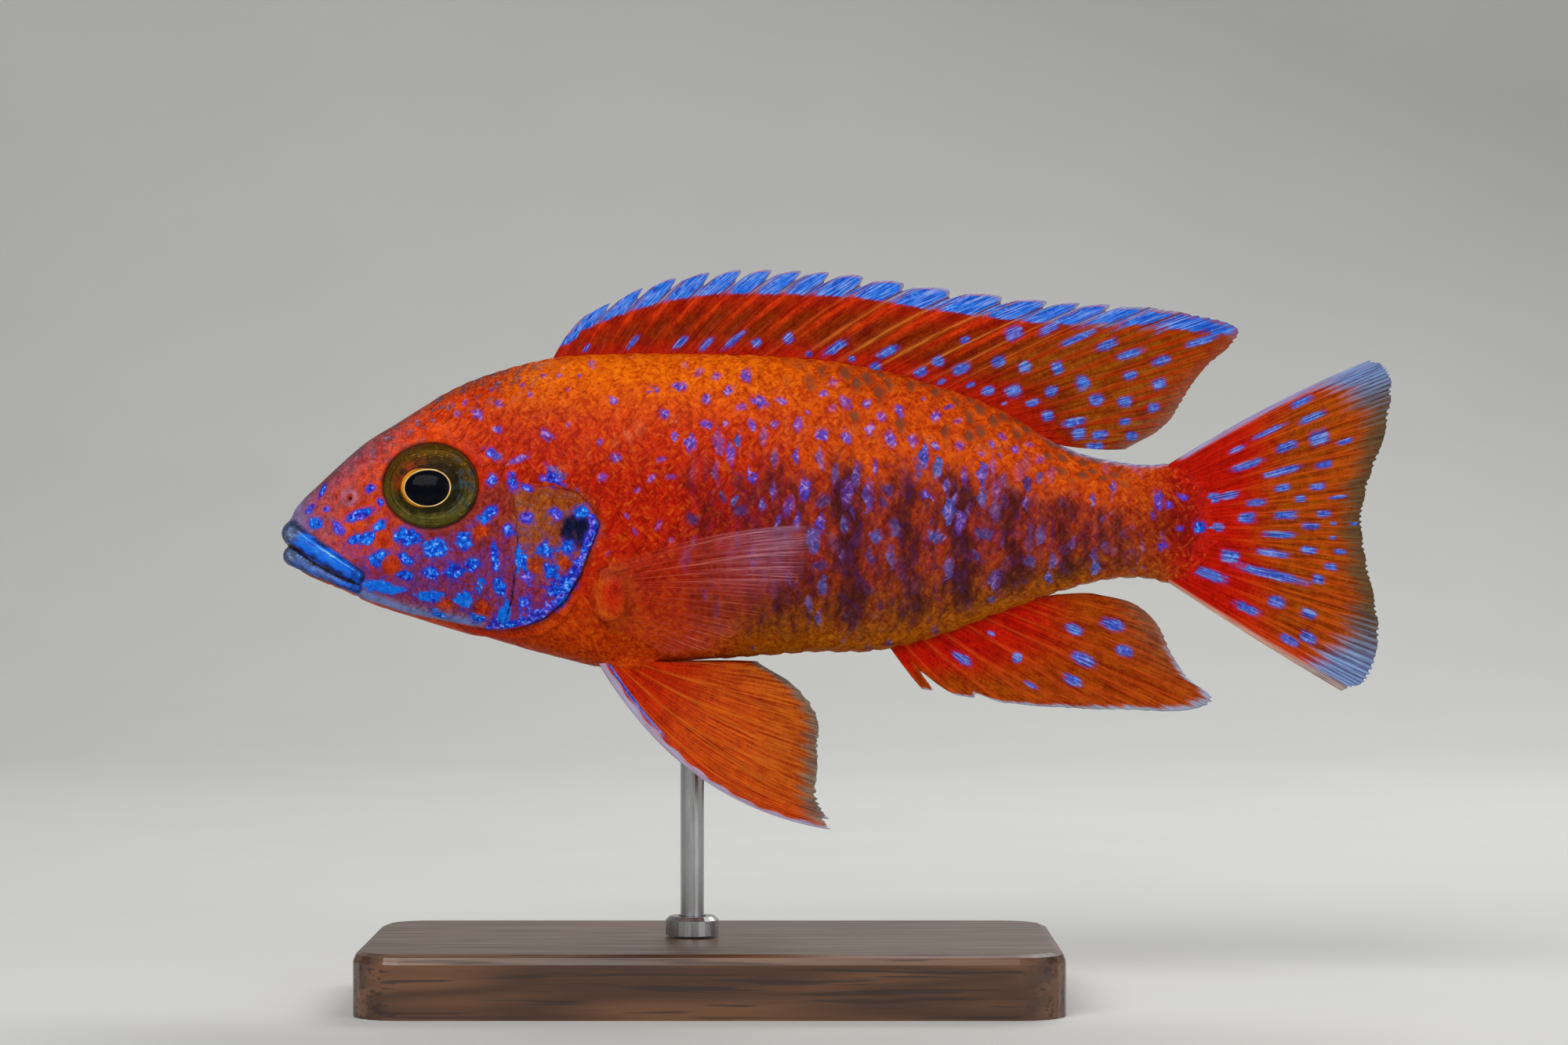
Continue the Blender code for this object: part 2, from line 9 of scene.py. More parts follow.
import bmesh
import bpy
import numpy as np
from bpy.props import FloatProperty, FloatVectorProperty, IntProperty, PointerProperty
from mathutils import Matrix, Vector
from mathutils.bvhtree import BVHTree


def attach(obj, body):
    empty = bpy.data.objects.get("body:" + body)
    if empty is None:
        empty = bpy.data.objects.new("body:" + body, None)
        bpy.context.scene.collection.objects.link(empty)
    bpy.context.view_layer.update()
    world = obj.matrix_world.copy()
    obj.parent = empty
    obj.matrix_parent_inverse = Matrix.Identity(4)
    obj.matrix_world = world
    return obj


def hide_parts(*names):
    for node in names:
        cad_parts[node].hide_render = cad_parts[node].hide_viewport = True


bl_info = {
    "name": "Peacock Cichlid Display Model",
    "version": (1, 0, 0),
    "blender": (4, 5, 0),
    "location": "View3D > Sidebar > Fish",
    "description": "Skin, scales, eyes, fins and stand of a life-size peacock cichlid",
    "category": "Object",
}

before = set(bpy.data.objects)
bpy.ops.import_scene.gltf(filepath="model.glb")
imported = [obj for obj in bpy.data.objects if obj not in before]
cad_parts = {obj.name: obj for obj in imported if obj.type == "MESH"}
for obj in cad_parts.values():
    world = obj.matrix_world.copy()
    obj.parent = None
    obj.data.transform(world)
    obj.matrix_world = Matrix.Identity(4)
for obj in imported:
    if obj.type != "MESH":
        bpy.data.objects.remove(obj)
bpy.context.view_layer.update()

MM = 0.001
BODY = "root"
SIDES = ((-1.0, "left"), (1.0, "right"))  # which way each flank looks along y

# The body, as in the part
AXIS_HEIGHT = 61.5  # the body's long axis above the floor
SWAY, SWAY_FROM, TAIL_TIP = 2.2, 5.0, 71.0  # sideways swing of the tail, from x and to x
# x, height of the back, height of the belly, half width, height of the widest level
PROFILE = (
    (-69.9, -0.5, -5.0, 1.2, -2.8), (-69.4, 0.9, -6.1, 2.6, -2.8), (-68.2, 2.5, -7.3, 3.8, -2.7),
    (-66.2, 4.4, -8.3, 4.7, -2.5), (-63.0, 7.4, -9.7, 5.5, -2.1), (-60.2, 9.8, -11.1, 6.2, -1.7),
    (-56.5, 12.1, -12.4, 6.8, -1.2), (-52.0, 14.9, -13.7, 7.4, -0.8), (-47.0, 17.5, -15.0, 8.0, -0.4),
    (-42.0, 19.2, -16.4, 8.6, 0.0), (-36.0, 20.6, -18.0, 9.1, 0.3), (-29.0, 21.0, -19.5, 9.2, 0.5),
    (-21.0, 21.1, -18.7, 9.0, 0.7), (-12.0, 20.9, -18.0, 8.5, 0.9), (-3.0, 20.4, -17.4, 7.8, 1.0),
    (5.0, 19.1, -17.2, 7.0, 1.0), (13.0, 16.9, -15.3, 6.1, 0.9), (21.0, 13.9, -12.3, 5.1, 0.6),
    (29.0, 9.1, -9.5, 4.2, 0.1), (36.0, 7.3, -8.0, 3.3, -0.4), (40.0, 7.0, -8.1, 2.7, -0.6),
    (43.0, 7.3, -8.9, 2.1, -0.8),
)
# The same for the scaly sheath over the tail fin's root
SHEATH = ((45.4, 6.9, -8.2, 1.3, -0.8), (47.4, 5.4, -6.8, 0.68, -0.8), (49.0, 3.6, -5.0, 0.5, -0.8))
BACK_POWER, BELLY_POWER = (0.95, 1.05), (0.80, 0.95)  # section fullness at the snout and at the tail
SNOUT_X, BODY_END_X, SHEATH_END_X = PROFILE[0][0], PROFILE[-1][0], SHEATH[-1][0]
PROFILE_TABLE = np.array(PROFILE + SHEATH)
COAT_DEPTH = 0.3  # how far the skin lies under the solids, which is the scales' depth

# Eyes and mouth, as in the part
EYE_X, EYE_H = -50.9, 3.8
EYE_HALVES = (6.8, 5.75, 3.7)
EYE_PROUD = 1.5
EYE_FACING = (-0.10, 0.14)
LIP_ROUTE = ((-69.45, 0.0), (-68.6, 2.6), (-66.2, 4.1), (-63.4, 5.1), (-60.9, 5.8))  # x, half width
UPPER_LIP = (-2.0, -7.4, 1.5, 1.0)  # height at the front and the corner, radius at both
LOWER_LIP = (-4.9, -9.0, 1.3, 0.6)

# Fins, as in the part: root x, root h (None on the back or belly line), tip x, tip h, and the bow of the ray
DORSAL_RAYS = (
    (-35.6, None, -31.6, 26.2, 0.5), (-29.5, None, -22.9, 30.0, 0.6), (-23.3, None, -14.1, 31.5, 0.6),
    (-17.1, None, -6.0, 31.5, 0.6), (-10.9, None, 1.8, 31.0, 0.5), (-1.6, None, 12.8, 29.3, 0.5),
    (7.7, None, 26.0, 27.7, 0.4), (13.7, None, 34.6, 27.2, 0.3), (17.5, None, 42.9, 26.4, 0.2),
    (21.0, None, 51.3, 23.9, 0.0), (24.2, None, 46.2, 18.2, -0.2), (27.4, None, 42.0, 11.9, -0.4),
    (30.2, None, 36.8, 8.7, -0.2),
)
ANAL_RAYS = (
    (7.2, None, 10.8, -21.9, -0.1), (9.2, None, 15.4, -22.7, -0.3), (11.7, None, 21.5, -23.7, -0.3),
    (14.4, None, 28.6, -24.3, -0.3), (17.2, None, 36.2, -24.6, -0.2), (19.7, None, 44.2, -24.7, 0.0),
    (22.0, None, 48.0, -23.3, 0.2), (24.0, None, 44.8, -20.5, 0.3), (25.7, None, 42.8, -17.5, 0.4),
    (27.2, None, 41.0, -13.8, 0.5), (28.4, None, 37.9, -11.0, 0.4), (29.4, None, 32.7, -9.7, 0.1),
)
CAUDAL_RAYS = (
    (43.4, 7.3, 68.3, 20.2, 0.7), (43.4, 5.8, 70.5, 19.0, 0.6), (43.4, 4.2, 71.0, 15.5, 0.4),
    (43.4, 2.5, 70.0, 10.0, 0.2), (43.4, 0.8, 68.0, 4.5, 0.1), (43.4, -0.8, 67.2, -0.2, 0.0),
    (43.4, -2.4, 67.7, -5.0, 0.0), (43.4, -4.1, 68.7, -10.0, -0.1), (43.4, -5.8, 69.4, -15.0, -0.2),
    (43.4, -7.5, 68.0, -20.5, -0.2), (43.4, -9.0, 64.5, -22.2, -0.2),
)
PELVIC_RAYS = (
    (-29.1, None, -0.8, -39.2, -4.2), (-28.1, None, -1.8, -38.0, -3.0), (-26.9, None, -2.7, -35.0, -1.6),
    (-25.6, None, -2.5, -29.5, -0.8), (-24.2, None, -3.0, -24.5, -0.2), (-20.0, None, -8.6, -18.6, 0.2),
)
PELVIC_ROOT, PELVIC_SPLAY = 3.2, 0.30
PECTORAL_RAYS = (
    (-28.5, -6.4, -3.1, -0.9, 1.3), (-28.0, -7.3, -2.5, -3.0, 0.9), (-27.7, -8.4, -4.2, -8.0, 0.5),
    (-27.6, -9.5, -7.0, -11.2, 0.3), (-27.7, -10.8, -10.8, -14.3, 0.1), (-27.9, -12.0, -15.3, -16.8, 0.0),
    (-28.4, -13.1, -21.2, -17.4, -0.2),
)
PECTORAL_OFF, PECTORAL_SPLAY = 1.2, 0.20

# Lines of the head in the side view, x and h
GILL_EDGE = (
    (-40.4, 3.6), (-36.0, 3.9), (-32.6, 3.0), (-30.9, 1.4), (-30.0, -0.8), (-30.9, -3.2), (-32.2, -6.8),
    (-34.4, -10.4), (-37.0, -12.6), (-40.2, -13.9), (-43.5, -14.2),
)
JAW_EDGE = ((-64.2, -8.3), (-59.7, -10.5), (-54.5, -12.2), (-47.9, -13.5), (-43.5, -14.2))
GILL_MEMBRANE = (
    (-54.5, -12.9), (-46.6, -14.9), (-41.6, -15.4), (-37.4, -14.9), (-34.7, -13.3), (-33.1, -11.0),
    (-31.9, -8.6),
)
PREOPERCLE = ((-40.9, 4.2), (-40.6, 0.6), (-40.3, -2.6), (-40.5, -5.9), (-41.0, -9.9), (-42.0, -13.5))
CLEFT = ((-72.0, -3.4), (-69.4, -3.8), (-66.2, -5.9), (-63.4, -7.4), (-61.2, -8.3))
MAXILLA = ((-61.6, -4.8), (-60.2, -6.3), (-59.8, -7.4), (-60.6, -8.8))
NOSTRIL = (-61.8, 2.5)
LOBE = (-28.6, -9.8)  # middle of the pectoral fin's fleshy root
PORES = ((-64.6, -8.9), (-61.2, -10.2), (-57.4, -11.4), (-53.2, -12.5), (-48.9, -13.2), (-44.6, -13.4))

# Blue marks of the head: x, h, half length and half width in tenths of a millimetre, turn in degrees, and hue
# from 0 (violet) to 9 (azure)
FACE_PATCHES = (
    (-661, -7, 9, 8, 0, 8), (-647, 10, 5, 4, 0, 2), (-668, 12, 8, 4, 45, 3), (-654, 33, 10, 4, 65, 4),
    (-631, -14, 10, 6, -55, 1), (-610, -28, 11, 6, 25, 5), (-604, 4, 21, 7, 20, 4),
    (-593, -26, 15, 8, 20, 7), (-579, -11, 12, 6, 40, 7), (-591, 37, 7, 5, 30, 2),
    (-579, -53, 13, 11, 20, 7), (-576, -88, 29, 8, -8, 9), (-578, 19, 6, 5, 75, 4),
    (-543, -24, 17, 12, 0, 6), (-546, -73, 10, 7, -5, 5), (-546, -52, 13, 8, -35, 5),
    (-515, -100, 23, 8, -3, 9), (-508, -39, 19, 12, 0, 8), (-512, -70, 11, 9, 0, 5),
    (-504, -122, 12, 4, -15, 8), (-482, -68, 14, 10, 10, 6), (-473, -104, 12, 10, 0, 9),
    (-471, -30, 14, 11, 80, 7), (-460, -59, 14, 8, 50, 6), (-453, -128, 13, 6, 0, 8),
    (-452, -87, 15, 5, 50, 7), (-449, -6, 17, 7, 28, 8), (-432, -52, 22, 5, -85, 6),
    (-425, -87, 13, 8, -70, 6), (-421, -122, 17, 9, 75, 9), (-436, 9, 10, 6, 30, 4),
    (-435, 47, 8, 6, 65, 3), (-435, 80, 13, 4, -30, 2), (-414, -17, 9, 8, 60, 3), (-409, 44, 13, 7, -70, 3),
    (-402, -51, 20, 4, 88, 9), (-396, -56, 10, 8, 90, 7), (-395, -109, 10, 7, 25, 5),
    (-392, -76, 8, 7, -80, 1), (-391, 0, 11, 8, 5, 2), (-391, 37, 9, 4, -25, 3), (-388, -132, 15, 3, 15, 3),
    (-369, -122, 7, 4, 55, 2), (-369, -41, 12, 9, 15, 7), (-366, 52, 11, 8, 75, 2),
    (-360, -114, 8, 5, -20, 4), (-360, -69, 11, 10, 25, 6), (-358, -91, 11, 7, 5, 5),
    (-355, 47, 10, 8, 60, 3), (-354, 4, 10, 7, -35, 1), (-348, -104, 13, 7, 50, 6),
    (-341, -38, 12, 9, 20, 6), (-340, -82, 11, 10, 35, 5), (-331, -68, 8, 7, 50, 4),
    (-324, -54, 11, 3, 75, 3), (-323, 7, 12, 9, 15, 7), (-312, -29, 20, 6, 60, 4),
)
# The plainest spots of the flank, the same way; tone 0 is dark blue, 3 dull violet, 6 blue grey, 9 pale lilac
FLANK_SPOTS = (
    (-455, 130, 8, 5, -25, 8), (-443, 82, 12, 6, 40, 8), (-430, 78, 10, 5, -30, 6),
    (-429, 110, 6, 4, -10, 8), (-402, 73, 13, 4, 20, 9), (-370, 49, 12, 6, -35, 6), (-367, 59, 10, 6, 0, 6),
    (-367, 103, 8, 6, -45, 8), (-356, 44, 10, 6, 0, 6), (-352, 54, 10, 6, -30, 6), (-335, 34, 7, 4, -5, 9),
    (-284, 147, 5, 5, -50, 8), (-234, 159, 6, 6, 30, 9), (-219, 130, 6, 6, 15, 8),
    (-206, 103, 6, 4, -80, 9), (-201, 164, 9, 6, 5, 8), (-186, 95, 11, 7, -80, 8), (-183, -2, 8, 6, -45, 3),
    (-166, 149, 6, 5, -65, 9), (-143, 27, 8, 6, -80, 3), (-125, 19, 8, 7, 30, 6), (-123, 8, 8, 7, 35, 3),
    (-116, 180, 8, 6, -85, 8), (-108, 52, 9, 6, -80, 8), (-108, 116, 7, 5, -55, 9),
    (-99, 146, 10, 6, -20, 8), (-71, 147, 6, 4, -25, 9), (-41, 34, 12, 7, -90, 8), (-26, -52, 8, 6, 20, 3),
    (-23, -61, 10, 6, 0, 3), (-19, 20, 10, 7, 45, 3), (-19, 104, 8, 7, -55, 8), (10, 101, 9, 5, -75, 9),
    (41, -52, 10, 5, -75, 3), (47, -11, 9, 5, -70, 5), (48, -24, 9, 7, 25, 6), (50, 59, 12, 6, -80, 9),
    (62, 21, 10, 7, 20, 3), (63, 33, 9, 6, -70, 3), (65, 100, 10, 6, -65, 9), (72, -14, 12, 6, -90, 4),
    (78, 134, 7, 5, -60, 9), (112, 25, 9, 6, -60, 8), (121, -12, 8, 6, 85, 3), (122, -24, 10, 7, -10, 6),
    (178, -46, 9, 7, -85, 4), (179, -31, 8, 7, 50, 5), (185, -21, 10, 7, -10, 4), (243, -56, 8, 7, -30, 4),
    (408, 21, 11, 6, -85, 8),
)
DARK_SPOT = (-32.9, -1.6, 1.9, 2.2)  # on the gill cover: x, h, half width, half height
# Dark bars of the flank: x and strength
BARS = (
    (-16.9, 0.45), (-7.7, 0.65), (1.2, 1.0), (8.6, 0.85), (15.3, 1.0), (21.9, 0.9), (28.5, 0.8),
    (34.8, 0.3),
)
BAR_GAPS = (-12.2, -3.8, 4.6, 11.8, 18.6, 25.3, 31.6)  # x of the pale columns between the dark bars

# Blue marks of the fins: x, h, half length along the rays and half width in tenths, and hue from 0 to 9
DORSAL_MARKS = (
    (64, 211, 12, 5, 5), (48, 191, 7, 6, 4), (106, 185, 8, 5, 4), (128, 199, 7, 6, 6), (163, 226, 6, 4, 3),
    (158, 190, 10, 6, 5), (133, 173, 6, 3, 3), (170, 169, 6, 3, 2), (192, 161, 7, 5, 5),
    (205, 199, 8, 6, 6), (225, 235, 10, 8, 1), (225, 161, 9, 7, 6), (239, 192, 7, 6, 7),
    (213, 145, 3, 2, 1), (249, 146, 8, 4, 4), (268, 129, 7, 6, 6), (273, 161, 7, 6, 6), (281, 191, 7, 7, 7),
    (302, 121, 13, 5, 5), (313, 172, 8, 8, 6), (308, 107, 8, 7, 7), (335, 105, 9, 5, 4),
    (328, 91, 10, 4, 5), (331, 150, 8, 7, 6), (367, 148, 8, 6, 6), (374, 181, 8, 5, 5), (404, 140, 7, 5, 5),
    (411, 170, 8, 6, 6), (367, 122, 7, 4, 5), (376, 104, 6, 5, 4), (414, 200, 10, 5, 4),
    (270, 241, 13, 5, 2), (307, 229, 20, 4, 4), (344, 220, 13, 5, 5), (374, 209, 15, 5, 5),
    (466, 226, 18, 4, 6), (-320, 216, 6, 3, 1), (-261, 223, 11, 3, 2), (-200, 223, 10, 4, 3),
    (-167, 221, 10, 4, 1), (-132, 226, 15, 4, 3), (-103, 223, 6, 5, 4), (-62, 228, 6, 6, 4),
    (-3, 216, 15, 5, 4), (-36, 208, 4, 4, 2), (19, 202, 4, 4, 2),
)
CAUDAL_MARKS = (
    (594, 148, 12, 4, 5), (607, 128, 15, 4, 7), (552, 110, 19, 3, 3), (616, 102, 11, 8, 6),
    (649, 97, 9, 3, 5), (574, 90, 12, 5, 4), (511, 87, 10, 3, 1), (524, 67, 18, 4, 4), (569, 59, 21, 4, 4),
    (622, 67, 10, 4, 5), (569, 38, 9, 4, 4), (614, 39, 9, 4, 4), (592, 24, 6, 4, 3), (641, 26, 10, 2, 4),
    (480, 25, 8, 6, 5), (500, 28, 12, 4, 3), (536, 19, 11, 4, 4), (524, -1, 10, 6, 6), (573, 3, 13, 5, 4),
    (623, 5, 8, 4, 5), (483, -13, 10, 5, 5), (606, -11, 10, 4, 4), (635, -8, 4, 2, 4), (662, -8, 6, 2, 4),
    (566, -22, 18, 4, 6), (634, -26, 4, 2, 4), (502, -50, 11, 7, 6), (557, -46, 19, 4, 4),
    (604, -42, 9, 4, 5), (644, -44, 7, 3, 4), (631, -63, 7, 4, 5), (615, -79, 7, 5, 3),
    (556, -73, 38, 5, 5), (475, -73, 20, 6, 6), (561, -108, 10, 6, 4), (603, -123, 9, 5, 5),
    (523, -116, 16, 5, 4), (602, -154, 10, 6, 4), (578, -157, 11, 5, 3),
)
ANAL_MARKS = (
    (159, -180, 12, 5, 3), (229, -179, 6, 6, 4), (196, -148, 5, 3, 1), (302, -143, 10, 6, 6),
    (314, -182, 14, 7, 4), (351, -137, 13, 7, 5), (366, -170, 10, 6, 5), (300, -208, 11, 6, 4),
    (247, -214, 8, 3, 2),
)
# Lower edge of the blue band of the dorsal fin: x and h
BAND_EDGE = (
    (-36.0, 22.0), (-34.4, 23.1), (-28.8, 25.5), (-25.1, 26.7), (-20.8, 27.8), (-15.5, 28.6), (-4.8, 28.5),
    (2.7, 28.1), (11.6, 26.6), (20.6, 25.4), (29.6, 24.5), (41.1, 23.7), (52.0, 22.6),
)


def paint(red, green, blue):
    """A colour given as screen values from 0 to 255, in linear light."""
    value = np.array((red, green, blue)) / 255
    return np.where(value <= 0.04045, value / 12.92, ((value + 0.055) / 1.055) ** 2.4)


def colour(name, description, *screen):
    """A property for a colour."""
    shown = {"name": name, "description": description, "subtype": "COLOR"}
    return FloatVectorProperty(size=3, min=0.0, max=1.0, default=tuple(paint(*screen)), **shown)


def length(name, description, value):
    """A property for a length in millimetres."""
    return FloatProperty(name=name, description=description, default=value, min=0.0)


def power(name, description, value):
    """A property for the power of a light in watts."""
    return FloatProperty(name=name, description=description, default=value, min=0.0, unit="POWER")


class FleshColours(bpy.types.PropertyGroup):
    flank: colour("Flank", "Red of the flank behind the head", 194, 35, 4)
    shoulder: colour("Shoulder", "Orange of the upper side", 224, 64, 4)
    gold: colour("Gold", "Golden orange of the back before the fin", 252, 118, 6)
    rear: colour("Rear", "Orange of the upper side towards the tail", 218, 80, 10)
    belly: colour("Belly", "Brownish orange of the belly", 184, 98, 10)
    throat: colour("Throat", "Orange of the throat and breast", 208, 68, 4)
    tail: colour("Tail stem", "Brown orange of the lower tail stem", 172, 70, 26)
    brow: colour("Brow", "Orange red of the forehead", 240, 78, 4)
    snout: colour("Snout", "Greyish violet of the top of the snout", 112, 92, 134)
    sparkle: colour("Snout flecks", "Pale lilac flecks of the snout", 168, 138, 186)
    cheek: colour("Cheek", "Brick red of the cheek between its blue marks", 154, 50, 40)
    cover: colour("Gill cover", "Brown of the upper gill cover", 168, 84, 24)
    blob: colour("Red blobs", "Plain red blobs among the blue marks of the cheek", 196, 58, 14)
    jaw: colour("Jaw", "Pale blue grey of the jaw's edge", 112, 142, 206)
    bar: colour("Bars", "Purplish brown of the bars", 48, 18, 26)
    night: colour("Cold bars", "Dark blue patches in the bars", 34, 24, 76)
    haze: colour("Haze", "Brownish violet between the bars", 100, 54, 90)
    smudge: colour("Smudge", "Greyish brown heart of the scales of the back", 98, 62, 46)
    freckle: colour("Freckles", "Greyish brown blotches along the top of the head", 104, 66, 62)
    lobe: colour("Fin roots", "Orange of the fleshy roots of the breast fins", 212, 92, 22)
    lip: colour("Lips", "Blue of the lips", 18, 92, 226)
    # Painted shade: near-black laid in the folds, slits, pits and eye rims of the head, and also darker over
    # the end of the tail stem
    fold_shade_and_dark_patch: colour("Crease", "Dark folds of the mouth and the gill cover", 30, 12, 16)


class BlueColours(bpy.types.PropertyGroup):
    violet: colour("Violet", "Violet end of the blue marks", 92, 70, 218)
    blue: colour("Blue", "Middle of the blue marks", 16, 58, 214)
    cyan: colour("Cyan", "Cyan end of the blue marks", 8, 118, 242)
    # Painted glints: glint and blush colour the bright grains that stand for the marks' sheen
    glint: colour("Glint", "Bright grains in the blue marks", 150, 205, 255)
    blush: colour("Blush", "Bright grains in the violet marks", 204, 172, 240)
    milk: colour("Milk", "Dull blue grey that softens the marks of the fins", 96, 112, 176)
    ink: colour("Ink", "Deep violet blue round the marks", 34, 14, 120)


class FinColours(bpy.types.PropertyGroup):
    red: colour("Red", "Red of the fins near their roots", 200, 26, 4)
    rust: colour("Rust", "Brown red skin of the spiny dorsal fin", 142, 46, 2)
    amber: colour("Amber", "Orange brown skin of the soft fins", 156, 80, 8)
    orange: colour("Orange", "Orange of the pelvic fins", 196, 62, 2)
    olive: colour("Olive", "Greyish olive of the trailing edges", 104, 88, 60)
    lilac: colour("Lilac", "Pale lilac of the margins", 158, 176, 222)
    ray: colour("Rays", "Yellowish orange of the rays", 236, 134, 44)
    beige: colour("Beige", "Pale beige of the tail fin's lower edge", 206, 172, 150)


class ScaleSizes(bpy.types.PropertyGroup):
    pitch: length("Pitch", "Distance between scales along the flank, in millimetres", 2.9)
    face_pitch: length("Face pitch", "Distance between scales along the cheek, in millimetres", 1.5)
    rows: IntProperty(name="Rows", description="Rows of scales from the back to the belly", default=21, min=8)
    face_rows: IntProperty(name="Face rows", description="The same on the head", default=36, min=8)
    lift: length("Lift", "How far a scale's free edge stands off the skin, in millimetres", 0.18)
    thickness: length("Thickness", "Thickness of a scale, in millimetres", 0.08)


class StageSettings(bpy.types.PropertyGroup):
    floor: colour("Floor", "Colour of the floor and the backdrop", 226, 226, 222)
    key: power("Key light", "Power of the main soft light", 6.4)
    fill: power("Fill light", "Power of the fill light", 3.0)
    rim: power("Rim light", "Power of the light behind", 3.0)


# Curves and masks


def ease(low, high, value):
    """0 below low, 1 above high, and smooth between them."""
    t = np.clip((np.asarray(value, float) - low) / (high - low), 0.0, 1.0)
    return t * t * (3 - 2 * t)


def hump(value, centre, width):
    """1 at the centre, falling to 0 on both sides."""
    return np.exp(-(((value - centre) / width) ** 2))


def curve_at(xs, ys, at):
    """A cubic Hermite curve through the points (xs, ys), read at every value of at."""
    xs, ys, at = np.asarray(xs, float), np.asarray(ys, float), np.asarray(at, float)
    slopes = np.gradient(ys, xs)
    i = np.clip(np.searchsorted(xs, at) - 1, 0, len(xs) - 2)
    gap = xs[i + 1] - xs[i]
    t = np.clip((at - xs[i]) / gap, 0.0, 1.0)
    ends = ys[i] * (1 + 2 * t) * (1 - t) ** 2 + ys[i + 1] * t * t * (3 - 2 * t)
    return ends + gap * (slopes[i] * t * (1 - t) ** 2 - slopes[i + 1] * t * t * (1 - t))


def read_line(line, at):
    """The second number of a line's points, read at the first."""
    return np.interp(at, *zip(*line))


def line_distance(x, h, line):
    """(distance to a line through points, which side: above 0 on its left, share of the way along it)."""
    best = np.full(np.shape(x), 1e9)
    side, along = np.zeros_like(best), np.zeros_like(best)
    for k, ((ax, ah), (bx, bh)) in enumerate(zip(line[:-1], line[1:])):
        dx, dh = bx - ax, bh - ah
        t = np.clip(((x - ax) * dx + (h - ah) * dh) / (dx * dx + dh * dh), 0.0, 1.0)
        gap = np.hypot(x - ax - t * dx, h - ah - t * dh)
        nearer = gap < best
        best = np.where(nearer, gap, best)
        side = np.where(nearer, dx * (h - ah) - dh * (x - ax), side)
        along = np.where(nearer, (k + t) / (len(line) - 1), along)
    return best, side, along


def inside_outline(x, h, outline):
    """Whether points lie inside a closed outline of the side view."""
    found = np.zeros(np.shape(x), bool)
    for (ax, ah), (bx, bh) in zip(outline, outline[1:] + outline[:1]):
        crosses = (ah > h) != (bh > h)
        found ^= crosses & (x < (bx - ax) * (h - ah) / (bh - ah + 1e-12) + ax)
    return found


def in_mm(marks):
    """Marks from tenths to millimetres, with the hue as a share."""
    return tuple((*(part / 10 for part in mark[:4]), *mark[4:-1], mark[-1] / 9) for mark in marks)


def patch_field(x, h, marks, rays=None, power=2.0):
    """(field, hue) of oval marks: the field is 1 in the heart of a mark, 0.5 on its edge and 0 well outside.
    Marks turn by their own angle, or along the rays when their direction at each point is given."""
    field, hue = np.zeros(np.shape(x)), np.full(np.shape(x), 0.5)
    for mark in marks:
        cx, ch, wide, high = mark[:4]
        if rays is None:
            turn = math.radians(mark[4])
            ux, uh = math.cos(turn), math.sin(turn)
        else:
            near = np.argmin((x - cx) ** 2 + (h - ch) ** 2)
            ux, uh = rays[0][near], rays[1][near]
        along, across = (x - cx) * ux + (h - ch) * uh, (h - ch) * ux - (x - cx) * uh
        reach = (np.abs(along / wide) ** power + np.abs(across / high) ** power) ** (1 / power)
        here = np.clip(1.0 - reach / 2, 0.0, 1.0)
        hue = np.where(here > field, mark[-1], hue)
        field = np.maximum(field, here)
    return field, hue


# The body's surface


def profile_at(x, depth=0.0):
    """(back, belly, half width, widest level) of the body at x, drawn in by a depth."""
    back, belly, wide, level = (curve_at(PROFILE_TABLE[:, 0], PROFILE_TABLE[:, k], x) for k in (1, 2, 3, 4))
    return back - depth, belly + depth, np.maximum(wide - depth, 0.15), level


def section_at(x, turn, depth=0.0):
    """(half width, h) of the body's surface at x; turn is 0 on the back and pi on the belly."""
    back, belly, wide, level = profile_at(x, depth)
    share = np.clip((x - SNOUT_X) / (BODY_END_X - SNOUT_X), 0.0, 1.0)
    upper = turn <= math.pi / 2
    low, high = np.where(upper, BACK_POWER[0], BELLY_POWER[0]), np.where(upper, BACK_POWER[1], BELLY_POWER[1])
    reach = np.where(upper, back - level, level - belly)
    return wide * np.maximum(np.sin(turn), 0.0) ** (low + (high - low) * share), level + reach * np.cos(turn)


def flank_at(x, h, depth=0.0):
    """Half width of the body at x and height h."""
    back, belly, _, level = profile_at(x, depth)
    reach = np.where(h >= level, back - level, level - belly)
    return section_at(x, np.arccos(np.clip((h - level) / reach, -1.0, 1.0)), depth)[0]


def underside_at(x, wide):
    """Height of the body's lower surface at x, a half width out from the middle plane."""
    _, belly, most, level = profile_at(x)
    share = np.clip((x - SNOUT_X) / (BODY_END_X - SNOUT_X), 0.0, 1.0)
    fullness = BELLY_POWER[0] + (BELLY_POWER[1] - BELLY_POWER[0]) * share
    reach = np.minimum(wide / most, 1.0) ** (1 / fullness)
    return level - (level - belly) * np.sqrt(1 - reach * reach)


def levels_at(x, h):
    """(share of the way up from the body's widest level to the back, share of the way down to the belly)."""
    back, belly, _, level = profile_at(x)
    return np.clip((h - level) / (back - level), 0, 1), np.clip((level - h) / (level - belly), 0, 1)


def sway_at(x):
    """Sideways shift of the body at x."""
    return SWAY * (np.maximum(0.0, np.asarray(x) - SWAY_FROM) / (TAIL_TIP - SWAY_FROM)) ** 2


def placed(x, y, h):
    """Points of the fish, in metres in the model's frame."""
    x, y, h = np.broadcast_arrays(x, y, h)
    return np.column_stack((x.ravel(), (y + sway_at(x)).ravel(), (AXIS_HEIGHT + h).ravel())) * MM


MAP_STEPS = (260, 121)  # along the body and round it


